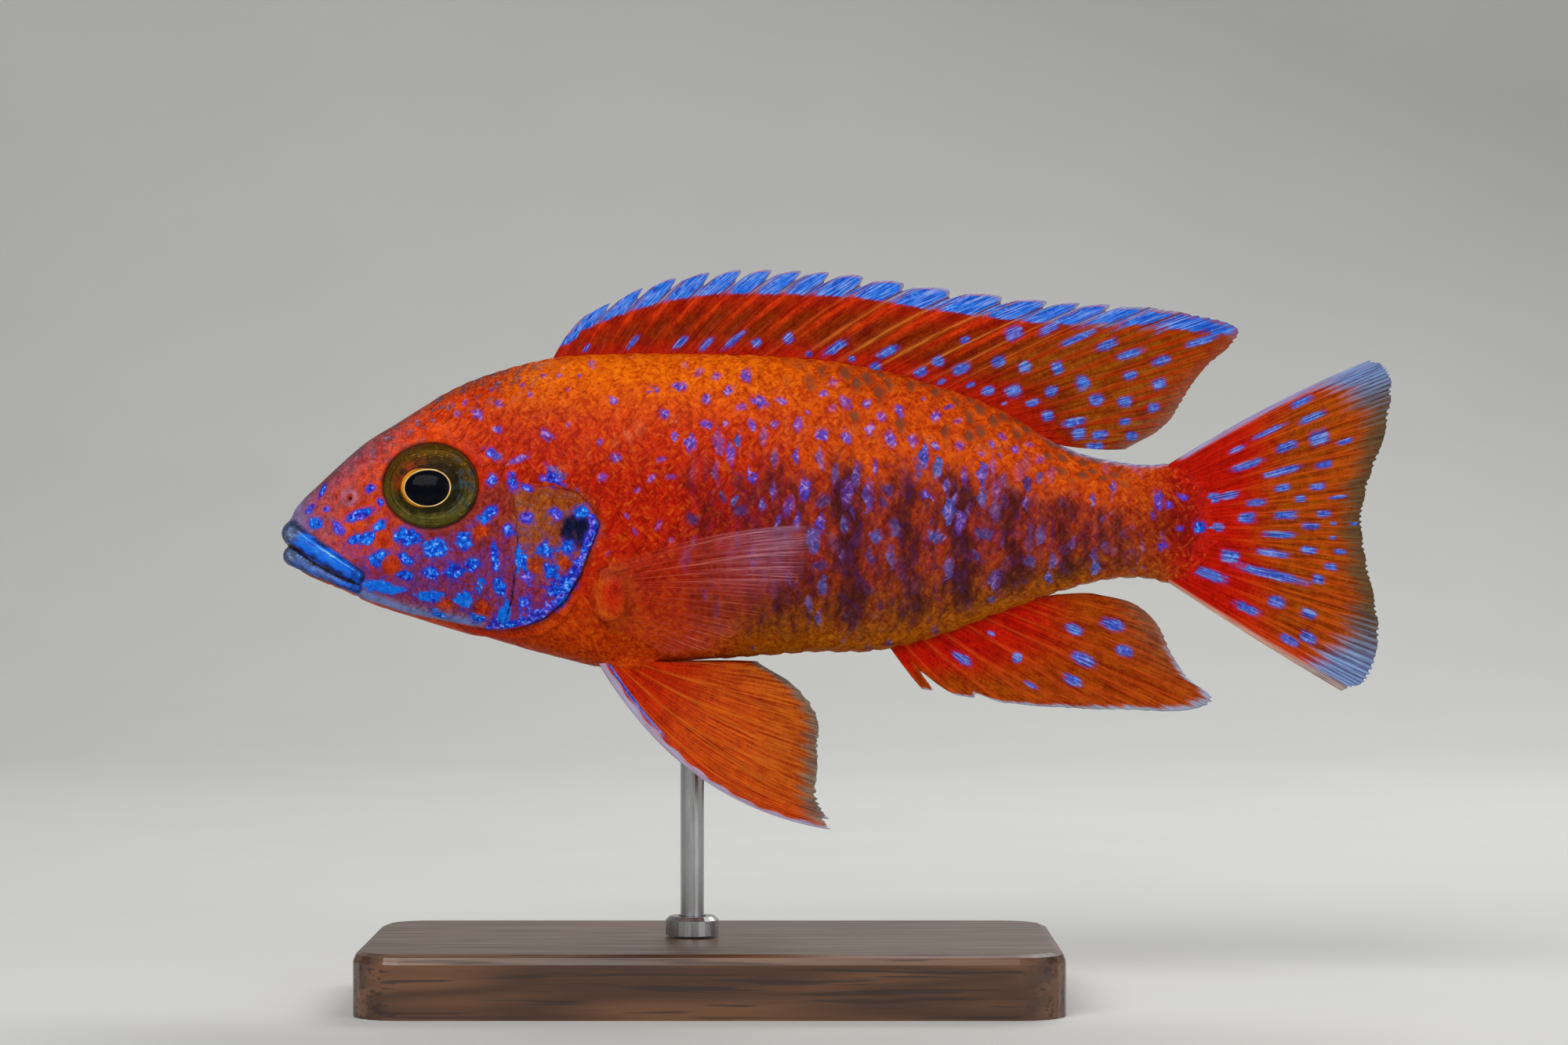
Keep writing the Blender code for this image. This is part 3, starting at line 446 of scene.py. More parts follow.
class FlankMap:
    """The flank as a map: x along it, and the share of the way round it from the back to the belly."""

    def __init__(self, depth):
        self.depth = depth
        self.xs = np.linspace(SNOUT_X, SHEATH_END_X, MAP_STEPS[0])
        self.shares = np.linspace(0.0, 1.0, MAP_STEPS[1])
        turns = np.linspace(0.0, math.pi, 2 * MAP_STEPS[1] - 1)
        y, h = section_at(self.xs[:, None], turns[None, :], depth)
        steps = np.hypot(np.diff(y, axis=1), np.diff(h, axis=1))
        run = np.concatenate((np.zeros((len(self.xs), 1)), np.cumsum(steps, axis=1)), axis=1)
        self.girths = run[:, -1]
        self.turns = np.array([np.interp(self.shares, row / row[-1], turns) for row in run])

    def girth(self, x):
        """Half of the way round the body at x."""
        return np.interp(x, self.xs, self.girths)

    def turn(self, x, share):
        """Turn round the section at x and a share of the way round."""
        at_x = np.clip((x - self.xs[0]) / (self.xs[1] - self.xs[0]), 0, len(self.xs) - 1.001)
        at_s = np.clip(share, 0.0, 1.0) * (len(self.shares) - 1) * 0.99999
        i, j = at_x.astype(int), at_s.astype(int)
        f, g = at_x - i, at_s - j
        upper = self.turns[i, j] * (1 - g) + self.turns[i, j + 1] * g
        lower = self.turns[i + 1, j] * (1 - g) + self.turns[i + 1, j + 1] * g
        return upper * (1 - f) + lower * f

    def point(self, x, share, side):
        """(x, y, h) of points of one side, in millimetres, before the tail's swing."""
        folded = 1.0 - np.abs(1.0 - np.abs(share))
        over = np.where((share < 0) | (share > 1), -1.0, 1.0)
        y, h = section_at(x, self.turn(x, folded), self.depth)
        return np.column_stack((x, side * over * y, h))

    def normal(self, x, share, side):
        """Outward normals of one side."""
        along = self.point(x + 0.3, share, side) - self.point(x - 0.3, share, side)
        round_it = self.point(x, share + 0.008, side) - self.point(x, share - 0.008, side)
        out = np.cross(along, round_it) * side
        return out / np.maximum(np.linalg.norm(out, axis=1, keepdims=True), 1e-9)


# Meshes


def read(items, field, kind=np.int32, width=1):
    """One field of all the vertices, corners or faces of a mesh."""
    values = np.empty(len(items) * width, kind)
    items.foreach_get(field, values)
    return values


def verts_of(mesh, field="co"):
    """Places of a mesh's vertices, or their normals."""
    return read(mesh.vertices, field, np.float32, 3).reshape(-1, 3).astype(float)


def set_verts(mesh, points):
    """Gives a mesh's vertices their places."""
    mesh.vertices.foreach_set("co", np.ascontiguousarray(points, np.float32).ravel())
    mesh.update()


def as_mesh(bm, name):
    """A mesh from a working one, which is freed."""
    mesh = bpy.data.meshes.new(name)
    bm.to_mesh(mesh)
    bm.free()
    return mesh


def faced_out(mesh):
    """Turns all faces outwards, after the vertices have their final places."""
    bm = bmesh.new()
    bm.from_mesh(mesh)
    bmesh.ops.recalc_face_normals(bm, faces=bm.faces)
    bm.to_mesh(mesh)
    bm.free()
    mesh.shade_smooth()
    return mesh


def colour_layer(mesh, name, values):
    """Keeps one colour or set of four masks for each vertex."""
    layer = mesh.color_attributes.new(name, "FLOAT_COLOR", "POINT")
    full = np.ones((len(mesh.vertices), 4), np.float32)
    full[:, : values.shape[1]] = values
    layer.data.foreach_set("color", full.ravel())


def uv_corners(mesh, name, flat):
    """Keeps a flat place for each corner of the faces as a UV map."""
    layer = mesh.uv_layers.new(name=name)
    layer.data.foreach_set("uv", np.ascontiguousarray(flat, np.float32).ravel())


def uv_layer(mesh, name, per_vertex):
    """The same from one flat place for each vertex."""
    uv_corners(mesh, name, per_vertex[read(mesh.loops, "vertex_index")])


def show(name, mesh, material, replaced=()):
    """Puts a finished piece in the scene, riding on the body, in place of solids of the part."""
    mesh.name = name
    mesh.materials.clear()
    mesh.materials.append(material)
    made = bpy.data.objects.new(name, mesh)
    bpy.context.scene.collection.objects.link(made)
    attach(made, BODY)
    if replaced:
        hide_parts(*replaced)
    return made


# Materials


class Nodes:
    """Adds nodes to a tree. A value may be a number, a vector, a colour or another node's socket."""

    def __init__(self, tree):
        self.tree = tree

    def put(self, socket, value):
        """Links a socket, or sets it straight to a plain value."""
        if isinstance(value, bpy.types.NodeSocket):
            self.tree.links.new(value, socket)
        else:
            socket.default_value = (*value, 1.0) if socket.type == "RGBA" else value

    def fill(self, node, values):
        """Sets or links inputs of a node, each given by its name or number."""
        for key, value in values.items():
            self.put(node.inputs[key], value)
        return node

    def add(self, kind, inputs=None, **settings):
        """A new node."""
        node = self.tree.nodes.new(kind)
        for key, value in settings.items():
            setattr(node, key, value)
        return self.fill(node, inputs or {})

    def group(self, tree, inputs):
        return self.add("ShaderNodeGroup", inputs, node_tree=tree).outputs

    def layer(self, name):
        """(colour, red, green, blue, alpha) of a colour layer."""
        found = self.add("ShaderNodeAttribute", attribute_name=name)
        parts = self.add("ShaderNodeSeparateColor", {"Color": found.outputs["Color"]})
        return (found.outputs["Color"], *parts.outputs, found.outputs["Alpha"])

    def place(self, scale=(1, 1, 1), turn=0.0):
        """The point of the surface, in metres, turned in the side view and stretched by a scale."""
        spot = self.add("ShaderNodeTexCoord").outputs["Object"]
        inputs = {"Vector": spot, "Rotation": (0.0, turn, 0.0), "Scale": tuple(1 / part for part in scale)}
        return self.add("ShaderNodeMapping", inputs, vector_type="TEXTURE").outputs[0]

    def flat(self, name, scale=(1, 1, 1), shift=None):
        """A UV map, stretched by a scale and moved by a shift."""
        spot = self.add("ShaderNodeUVMap", uv_map=name).outputs[0]
        if shift is not None:
            spot = self.vector("ADD", spot, shift)
        return self.add("ShaderNodeMapping", {"Vector": spot, "Scale": scale}).outputs[0]

    def vector(self, operation, first, second):
        """Two vectors added, or one scaled by a number."""
        inputs = {0: first, "Scale" if operation == "SCALE" else 1: second}
        return self.add("ShaderNodeVectorMath", inputs, operation=operation).outputs[0]

    def noise(self, spot, size, detail=2.0, roughness=0.5):
        """Cloudy noise whose features are about size millimetres."""
        inputs = {"Vector": spot, "Scale": 1 / (size * MM), "Detail": detail, "Roughness": roughness}
        return self.add("ShaderNodeTexNoise", inputs).outputs["Fac"]

    def streaks(self, spot, detail=3.0, roughness=0.6, output="Fac"):
        """Noise over a place that is stretched already."""
        inputs = {"Vector": spot, "Scale": 1.0, "Detail": detail, "Roughness": roughness}
        return self.add("ShaderNodeTexNoise", inputs).outputs[output]

    def maths(self, operation, *values, clamp=False):
        inputs = dict(enumerate(values))
        return self.add("ShaderNodeMath", inputs, operation=operation, use_clamp=clamp).outputs[0]

    def times(self, first, second):
        return self.maths("MULTIPLY", first, second)

    def plus(self, first, second, clamp=False):
        return self.maths("ADD", first, second, clamp=clamp)

    def minus(self, first, second, clamp=False):
        return self.maths("SUBTRACT", first, second, clamp=clamp)

    def span(self, value, low, high, to_low=0.0, to_high=1.0, smooth=True):
        """A value brought from one span to another."""
        inputs = {"Value": value, "From Min": low, "From Max": high, "To Min": to_low, "To Max": to_high}
        kind = "SMOOTHSTEP" if smooth else "LINEAR"
        return self.add("ShaderNodeMapRange", inputs, interpolation_type=kind).outputs[0]

    def mix(self, first, second, share, blend="MIX"):
        """A share of the second colour over the first."""
        inputs = {0: share, 6: first, 7: second}
        return self.add("ShaderNodeMix", inputs, data_type="RGBA", blend_type=blend).outputs[2]

    def stain(self, tint, by, share):
        """A colour multiplied by another one, as far as a share."""
        return self.mix(tint, self.mix(tint, by, 1.0, "MULTIPLY"), share)

    def ramp(self, value, stops):
        """A colour that follows a value through stops of (place, colour)."""
        node = self.add("ShaderNodeValToRGB", {"Fac": value})
        band = node.color_ramp
        while len(band.elements) < len(stops):
            band.elements.new(0.5)
        for element, (spot, tint) in zip(band.elements, stops):
            element.position, element.color = spot, (*tint, 1.0)
        return node.outputs["Color"]

    def bump(self, height, distance, strength=1.0):
        """Fine relief whose full height is a distance in millimetres."""
        inputs = {"Height": height, "Distance": distance * MM, "Strength": strength}
        return self.add("ShaderNodeBump", inputs).outputs[0]


def new_material(name):
    """(material, its nodes, its shader)."""
    made = bpy.data.materials.new(name)
    made.use_nodes = True
    return made, Nodes(made.node_tree), made.node_tree.nodes["Principled BSDF"]


def new_group(name, inputs, outputs):
    """(group, its nodes, its inputs, its output node). Inputs come with their defaults, outputs as names."""
    tree = bpy.data.node_groups.new(name, "ShaderNodeTree")
    for label, default in inputs.items():
        kind = "NodeSocketFloat" if isinstance(default, float) else "NodeSocketColor"
        tree.interface.new_socket(name=label, in_out="INPUT", socket_type=kind).default_value = default
    for label in outputs:
        kind = "NodeSocketColor" if label == "Color" else "NodeSocketFloat"
        tree.interface.new_socket(name=label, in_out="OUTPUT", socket_type=kind)
    nodes = Nodes(tree)
    return tree, nodes, nodes.add("NodeGroupInput").outputs, nodes.add("NodeGroupOutput")


def settings():
    """The colours and sizes that the panel shows."""
    return bpy.context.scene.cichlid


def blue_marks_group():
    """Broken, grainy blue marks with painted glints, laid over a ground: a field of 0.5 is a mark's edge."""
    if "blue marks" in bpy.data.node_groups:
        return bpy.data.node_groups["blue marks"]
    blues = settings().blues
    inputs = {
        "Ground": (0.5, 0.1, 0.05, 1.0), "Field": 0.0, "Hue": 0.5, "Raggedness": 0.3, "Softness": 0.06,
        "Grain": 0.5, "Milk": 0.0, "Fringe": 0.4,
    }
    tree, nodes, given, out = new_group("blue marks", inputs, ("Color", "Mask", "Height"))
    spot = nodes.place()
    broad = nodes.minus(nodes.noise(spot, 1.1, 2.0, 0.6), 0.5)
    fine = nodes.noise(spot, 0.42, 2.0, 0.6)
    ragged = nodes.plus(broad, nodes.times(nodes.minus(fine, 0.5), 0.8))
    ragged = nodes.times(ragged, nodes.span(given["Field"], 0.02, 0.28))
    field = nodes.plus(given["Field"], nodes.times(ragged, given["Raggedness"]))
    mask = nodes.span(field, nodes.minus(0.5, given["Softness"]), nodes.plus(0.5, given["Softness"]))
    drift = nodes.span(nodes.noise(spot, 1.3, 1.0), 0.3, 0.7, -0.26, 0.26, False)
    hue = nodes.plus(given["Hue"], drift, True)
    tint = nodes.ramp(hue, ((0.0, blues.violet), (0.5, blues.blue), (1.0, blues.cyan)))
    tint = nodes.mix(tint, blues.milk, given["Milk"])
    calm = nodes.span(given["Hue"], 0.92, 0.99, 1.0, 0.3)
    rim = nodes.times(nodes.span(field, 0.64, 0.5), nodes.times(calm, 0.4))
    grain = nodes.noise(spot, 0.55, 2.0, 0.65)
    uneven = nodes.times(given["Grain"], calm)
    dark = nodes.times(nodes.span(grain, 0.5, 0.38), uneven)
    tint = nodes.mix(tint, blues.ink, nodes.maths("MAXIMUM", rim, dark))
    # Painted glints: the sheen of the marks painted as bright grains, in two steps
    inner, bluer = nodes.times(nodes.span(field, 0.52, 0.7), uneven), nodes.span(hue, 0.1, 0.55)
    lit = nodes.times(nodes.span(grain, 0.49, 0.57), inner)
    tint = nodes.mix(tint, nodes.mix(paint(112, 100, 240), paint(32, 138, 255), bluer), lit)
    glint = nodes.times(nodes.span(grain, 0.57, 0.67), inner)
    tint = nodes.mix(tint, nodes.mix(blues.blush, blues.glint, bluer), glint)
    halo = nodes.times(nodes.span(field, 0.22, 0.52), given["Fringe"])
    ground = nodes.mix(given["Ground"], nodes.mix(blues.violet, blues.ink, 0.35), halo)
    nodes.fill(out, {"Color": nodes.mix(ground, tint, mask), "Mask": mask, "Height": fine})
    return tree


def mottle_group():
    """Uneven natural pigment: clouds and fine grain over a colour."""
    if "pigment" in bpy.data.node_groups:
        return bpy.data.node_groups["pigment"]
    inputs = {"Color": (0.5, 0.1, 0.05, 1.0), "Cloud": 0.3, "Grain": 0.3}
    tree, nodes, given, out = new_group("pigment", inputs, ("Color", "Height"))
    cloud = nodes.noise(nodes.place(), 1.5, 4.0, 0.66)
    grain = nodes.noise(nodes.place(), 0.28, 2.0, 0.7)
    parts = nodes.add("ShaderNodeSeparateColor", {"Color": given["Color"]}).outputs
    warm = nodes.span(nodes.minus(parts[0], parts[2]), 0.08, 0.3)
    deep = nodes.times(nodes.span(cloud, 0.55, 0.35), given["Cloud"])
    tint = nodes.stain(given["Color"], nodes.mix((0.62, 0.62, 0.66), (0.58, 0.26, 0.2), warm), deep)
    bright = nodes.times(nodes.span(cloud, 0.5, 0.68), given["Cloud"])
    tint = nodes.stain(tint, nodes.mix((1.15, 1.15, 1.15), (1.15, 1.5, 1.1), warm), bright)
    speck = nodes.times(nodes.span(grain, 0.5, 0.36), given["Grain"])
    tint = nodes.stain(tint, nodes.mix((0.7, 0.7, 0.74), (0.45, 0.2, 0.2), warm), speck)
    nodes.fill(out, {"Color": tint, "Height": grain})
    return tree


# Markings of the flesh, the same for the skin and the scales

FACE = GILL_EDGE + JAW_EDGE[-2::-1] + (
    (-72.0, -7.0), (-72.0, -0.4), (-66.5, 2.2), (-60.0, 4.2), (-56.0, 3.2), (-45.0, 3.4), (-43.5, 5.2),
)
LATERAL_LINE = (
    (-36.0, 5.6), (-32.3, 8.2), (-23.8, 11.4), (-17.5, 12.4), (-9.6, 12.3), (-4.9, 11.2), (4.4, 10.1),
    (24.0, 8.4),
)
TAIL_SPOTS = (
    (462, -12, 8, 8, 0, 6), (436, -14, 5, 4, 0, 2), (414, -36, 7, 6, 30, 2), (422, 16, 6, 5, 0, 1),
    (440, 26, 7, 4, -30, 1), (402, 4, 4, 6, 0, 2),
)
RED_BLOBS = (
    (-56.4, -6.0, 1.1), (-57.3, -2.8, 1.0), (-44.8, -1.8, 1.0), (-49.7, -11.1, 0.9), (-44.8, -11.5, 0.9),
    (-43.6, -13.2, 0.6), (-38.1, -5.9, 0.8), (-34.3, -5.6, 0.7),
)  # x, h, radius


def flesh_ground(x, h):
    """Ground colours of the flesh over the side view, and how freckled it is."""
    flesh, fins = settings().flesh, settings().fins
    back, belly, _, _ = profile_at(x)
    up, down = levels_at(x, h)
    depth = back - h
    tints = np.tile(np.array(flesh.flank), (len(x), 1))

    def lay(tint, weight):
        tints[:] += (np.array(tint) - tints) * np.broadcast_to(weight, x.shape)[:, None]

    lay(flesh.shoulder, ease(0.15, 0.7, up) * ease(-46, -30, x) * 0.9)
    lay(flesh.rear, ease(-16, 2, x) * (0.75 + 0.25 * ease(0.0, 0.45, up)))
    lay(flesh.gold, ease(0.5, 0.9, up) * ease(-47, -38, x) * ease(6, -14, x) * 0.9)
    lay(flesh.belly, ease(0.35, 0.85, down) * ease(-24, -8, x))
    lay(flesh.throat, ease(0.4, 0.72, down) * ease(-12, -26, x))
    lay(flesh.tail, ease(28, 36, x) * ease(-0.2, 0.5, down) * 0.7)
    lay(flesh.flank, ease(37, 44, x) * ease(0.9, 0.3, down) * 0.7)
    lay(flesh.brow, ease(-38, -50, x) * 0.85)
    lay(flesh.flank, ease(-52, -46, x) * ease(-38, -44, x) * ease(0.75, 0.4, up) * 0.7)
    lay(flesh.snout, ease(6.5, 1.0, depth) * ease(-50, -63, x) * 0.62)
    lay(flesh.smudge, ease(2.2, 0.3, depth) * ease(-38, -46, x) * 0.55)
    edge, _, _ = line_distance(x, h, FACE + FACE[:1])
    within = inside_outline(x, h, FACE)
    inner = np.where(within, edge, -edge)
    face = ease(-1.0, 1.0, inner)
    lay(flesh.cheek, face)
    lay(flesh.brow, face * ease(-52, -58, x) * ease(-9, -4, h) * 0.55)
    lay(flesh.snout, face * ease(-61, -68, x) * 0.5)
    lay(flesh.jaw, ease(-65.5, -69.0, x) * ease(-3.5, -1.5, h) * 0.6)
    lay(flesh.cover, face * ease(-41.2, -40.4, x) * ease(-10.0, -3.0, h) * 0.9)
    for blob_x, blob_h, radius in RED_BLOBS:
        lay(flesh.blob, ease(1.25, 0.6, np.hypot(x - blob_x, h - blob_h) / radius))
    gap, side, _ = line_distance(x, h, JAW_EDGE)
    reach = 0.7 + 1.4 * ease(-57, -64, x)
    rim = (side > 0) * hump(gap, 0.45, reach) * ease(-68.5, -66.5, x) * ease(-43.5, -46.5, x)
    lay(flesh.jaw, rim * 0.95)
    gap, _, _ = line_distance(x, h, LATERAL_LINE)
    lay((0.75, 0.24, 0.10), hump(gap, 0.0, 0.2) * ease(0.4, -0.2, edge * within) * 0.5)
    root = np.hypot((x - LOBE[0]) / 2.5, (h - LOBE[1]) / 3.7)
    lay(flesh.flank, ease(1.2, 0.7, root) * 0.5 * ~within)
    lay(flesh.lobe, hump(root + 0.25 * (x < LOBE[0]), 0.95, 0.26) * 0.65 * ~within)
    lay(fins.red, ease(40.5, 45.0, x))
    # Painted highlight: a pale lilac line along the top of the tail stem
    lay(fins.lilac, ease(0.8, 0.3, depth) * ease(25, 30, x) * ease(47, 45, x) * 0.95)
    lay(fins.beige, ease(0.6, 0.25, h - belly) * ease(24, 30, x) * 0.6)
    # Darker over the middle of the tail stem's end, in the near-black of the painted fold shade
    lay(flesh.fold_shade_and_dark_patch, hump(h, -1.0, 4.0) * ease(36, 41, x) * ease(47.5, 44.5, x) * 0.5)
    lay(flesh.sparkle, hump(np.hypot(x - NOSTRIL[0], h - NOSTRIL[1]), 0.85, 0.35) * 0.5)
    spot = np.hypot((x - DARK_SPOT[0]) / DARK_SPOT[2], (h - DARK_SPOT[1]) / DARK_SPOT[3])
    lay((0.004, 0.008, 0.035), ease(1.2, 0.95, spot) * ease(-0.6, 0.3, inner))
    freckles = np.maximum(ease(6.0, 0.8, depth) * ease(-33, -42, x), 0.4 * ease(-46, -54, x))
    blotches = 0.45 * face * np.maximum(ease(-57, -62, x), ease(-41.2, -40.4, x) * ease(-8, -4, h))
    freckles = np.maximum(freckles * (1 - face * 0.5), blotches)
    return np.column_stack((tints, freckles * ease(1.0, 1.4, spot)))


def flesh_marks(x, h):
    """(bars, haze, blue field, blue hue) over the side view."""
    up, down = levels_at(x, h)
    window = ease(0.52, 0.12, up) * ease(1.0, 0.68, down) * ease(42, 35, x)
    lean = x + 0.06 * h + 0.5 * np.sin(h * 0.9 + x * 0.15)
    bars = np.max([hump(lean, spot, 2.8) * strength * 0.9 for spot, strength in BARS], axis=0)
    columns = np.max([hump(lean, spot, 1.5) for spot in BAR_GAPS], axis=0)
    bars = np.maximum(bars, 0.5 * ease(-21, -9, x) * ease(0.4, 0.08, up)) * window
    haze = columns * ease(0.62, 0.2, up) * ease(0.9, 0.5, down) * ease(-23, -12, x) * ease(44, 38, x)
    veil = 0.16 * ease(0.55, 0.2, up) * ease(0.6, 0.25, down) * ease(-21, -6, x) * ease(40, 34, x)
    haze = np.maximum(haze * 0.45 * ease(0.85, 0.4, down), veil)
    cheek = inside_outline(x, h, FACE) & (x < -30)
    gap, _, _ = line_distance(x, h, JAW_EDGE)
    low = ease(3.5, -6.0, h) * ease(-69, -62, x) * ease(0.7, 1.5, gap)
    haze = np.where(cheek, low * (0.56 - 0.29 * ease(-42, -40, x)), haze)
    field, hue = patch_field(x, h, in_mm(FACE_PATCHES + TAIL_SPOTS))
    blobs = [ease(1.3, 0.9, np.hypot(x - at_x, h - at_h) / radius) for at_x, at_h, radius in RED_BLOBS]
    blobs = np.max(blobs, axis=0)
    haze, field = haze * (1 - blobs), field * (1 - 0.6 * blobs)
    flecks = np.where(cheek, 0.4 * low * (1 - blobs), 0.0)
    field, hue = np.maximum(field, flecks), np.where(flecks > field, 0.22, hue)
    gap, side, along = line_distance(x, h, GILL_EDGE)
    width = 1.05 + 0.2 * np.sin(along * 40)
    band = (side < 0) * np.clip(1.0 - np.abs(gap - 0.5) / width, 0, 1) * ease(0.30, 0.36, along)
    hue = np.where(band > field, 0.12 + 0.3 * along, hue)
    return np.column_stack((bars, haze, np.maximum(field * 0.95, band), hue))


# Skin

SKIN_VOXEL = 0.5  # grain of the skin before the head is divided finer
HEAD_END = -29.0  # x behind which the skin is plain
SOCKET_DEPTH = 4.6  # how deep the skin is pushed in behind an eyeball


def round_shell(u_segments, v_segments):
    """A closed shell, with each vertex's share of the way from pole to pole, and its angle round the axis."""
    bm = bmesh.new()
    bmesh.ops.create_uvsphere(bm, u_segments=u_segments, v_segments=v_segments, radius=1.0)
    mesh = as_mesh(bm, "shell")
    points = verts_of(mesh)
    return mesh, np.arccos(np.clip(points[:, 2], -1, 1)) / math.pi, np.arctan2(points[:, 1], points[:, 0])


def body_core():
    """The bare body from the snout to the sheath of the tail fin."""
    rings = 110
    mesh, share, angle = round_shell(64, rings)
    inner = np.clip((share * rings - 1) / (rings - 2), 0.0, 1.0)
    x = SNOUT_X + (SHEATH_END_X - SNOUT_X) * (inner + 0.35 * (inner * inner - inner))
    turn, side = np.abs(angle), np.where(angle < -1e-6, -1.0, 1.0)
    y, h = section_at(x, turn, COAT_DEPTH)
    pole = (share < 0.5 / rings) | (share > 1 - 0.5 / rings)
    level = profile_at(x)[3]
    x = np.where(share < 0.5 / rings, x - 0.25, np.where(share > 1 - 0.5 / rings, x + 0.3, x))
    set_verts(mesh, placed(x, np.where(pole, 0, side * y), np.where(pole, level, h)))
    return mesh


def lip_centre(share, front_h, corner_h):
    """(x, y, h, how far back) of the middle of a lip at a share of the way from corner to corner."""
    route = [(x, -wide) for x, wide in reversed(LIP_ROUTE)] + list(LIP_ROUTE[1:])
    spots = np.linspace(0, 1, len(route))
    x, y = (curve_at(spots, [point[k] for point in route], share) for k in (0, 1))
    back = np.clip((x - LIP_ROUTE[0][0]) / (LIP_ROUTE[-1][0] - LIP_ROUTE[0][0]), 0, 1)
    return x, y, front_h + (corner_h - front_h) * back, back


def lip(front_h, corner_h, front_radius, corner_radius):
    """A lip as one bent roll from corner to corner."""
    mesh, share, angle = round_shell(20, 70)
    x, y, h, back = lip_centre(share, front_h, corner_h)
    ahead = lip_centre(np.clip(share + 0.01, 0, 1), front_h, corner_h)
    behind = lip_centre(np.clip(share - 0.01, 0, 1), front_h, corner_h)
    way = np.column_stack((ahead[0] - behind[0], ahead[1] - behind[1]))
    way /= np.linalg.norm(way, axis=1, keepdims=True)
    off = np.abs(share - 0.5)
    radius = (front_radius + (corner_radius - front_radius) * back) * (1 - 0.4 * ease(0.38, 0.5, off))
    radius *= np.sqrt(np.clip(1 - (np.clip(off - 0.45, 0, 1) / 0.05) ** 2, 0, 1))
    out = radius * np.cos(angle)
    set_verts(mesh, placed(x + out * way[:, 1], y - out * way[:, 0], h + radius * np.sin(angle)))
    return mesh


def mound(centre, halves, tilt=0.0):
    """A fleshy lobe: an oval body, tilted about the upright axis."""
    bm = bmesh.new()
    bmesh.ops.create_uvsphere(bm, u_segments=28, v_segments=18, radius=1.0)
    bmesh.ops.scale(bm, vec=[half * MM for half in halves], verts=bm.verts)
    bmesh.ops.rotate(bm, verts=bm.verts, cent=(0, 0, 0), matrix=Matrix.Rotation(tilt, 3, "Z"))
    bmesh.ops.translate(bm, vec=placed(*centre)[0], verts=bm.verts)
    return as_mesh(bm, "mound")


def fin_lobes():
    """The fleshy roots of the paired fins."""
    lobes = []
    for side, _ in SIDES:
        out = float(flank_at(-28.9, -9.7))
        lobes.append(mound((-28.7, side * (out + 0.05), -9.8), (2.4, 1.25, 3.6), side * 0.25))
        low = float(underside_at(-26.5, PELVIC_ROOT))
        lobes.append(mound((-26.3, side * PELVIC_ROOT, low + 0.3), (3.4, 1.0, 1.3)))
    return lobes


def welded(parts, voxel):
    """One skin round overlapping shells."""
    bm = bmesh.new()
    for part in parts:
        bm.from_mesh(part)
    holder = bpy.data.objects.new("welding", as_mesh(bm, "welding"))
    bpy.context.scene.collection.objects.link(holder)
    weld = holder.modifiers.new("weld", "REMESH")
    weld.mode, weld.voxel_size = "VOXEL", voxel * MM
    graph = bpy.context.evaluated_depsgraph_get()
    mesh = bpy.data.meshes.new_from_object(holder.evaluated_get(graph))
    bpy.data.objects.remove(holder)
    return mesh


def refined(mesh, behind_x):
    """Makes finer faces in front of behind_x, where the detail of the head is, and a smooth surface."""
    bm = bmesh.new()
    bm.from_mesh(mesh)
    axes = {"use_axis_x": True, "use_axis_y": True, "use_axis_z": True}
    bmesh.ops.smooth_vert(bm, verts=bm.verts, factor=0.5, **axes)
    head = [edge for edge in bm.edges if max(vert.co.x for vert in edge.verts) < behind_x * MM]
    bmesh.ops.subdivide_edges(bm, edges=head, cuts=1, use_grid_fill=True)
    front = [vert for vert in bm.verts if vert.co.x < (behind_x + 1) * MM]
    for _ in range(2):
        bmesh.ops.smooth_vert(bm, verts=front, factor=0.5, **axes)
    bmesh.ops.recalc_face_normals(bm, faces=bm.faces)
    bm.to_mesh(mesh)
    bm.free()
    mesh.shade_smooth()


def eye_frame(side):
    """(centre in millimetres, axes as columns) of an eyeball; the third axis looks out of the head."""
    facing = Vector((EYE_FACING[0], side, EYE_FACING[1])).normalized()
    out = float(flank_at(EYE_X, EYE_H)) + EYE_PROUD - EYE_HALVES[2]
    return np.array((EYE_X, side * out, EYE_H)), np.array(facing.to_track_quat("Z", "Y").to_matrix())


def eye_reach(points):
    """(how far points lie outside the nearer eyeball as a share of it, that eye's outward axis)."""
    reach, facing = np.full(len(points), 9.0), np.zeros_like(points)
    for side, _ in SIDES:
        centre, axes = eye_frame(side)
        here = np.linalg.norm((points - centre) @ axes / EYE_HALVES, axis=1)
        facing = np.where((here < reach)[:, None], axes[:, 2], facing)
        reach = np.minimum(reach, here)
    return reach - 1.0, facing


def step(t, height, width, drop, drop_width):
    """A plate's edge: raised on the side where t is above 0, with a groove along its foot."""
    raised = height * hump(np.maximum(t, 0), 0.0, width) * ease(-0.15, 0.15, t)
    return raised - drop * hump(np.minimum(t, 0), 0.0, drop_width) * ease(0.15, -0.15, t)


# Edges of plates: line, raised side (1 is its left), how it starts and how it ends along the line, (height,
# width, drop, width of the drop), and (place, width, strength) of the painted shade line at its foot
PLATES = (
    (GILL_EDGE, -1, (0.0, 0.14), (1.0, 0.94), (0.5, 2.4, 0.3, 0.45), (-0.14, 0.2, 0.9)),
    (GILL_MEMBRANE, 1, (0.0, 0.2), (1.0, 0.85), (0.22, 0.9, 0.12, 0.35), (-0.1, 0.16, 0.45)),
    (JAW_EDGE, 1, (0.0, 0.08), (2.0, 1.0), (0.22, 1.4, 0.25, 0.5), (-0.1, 0.18, 0.55)),
)


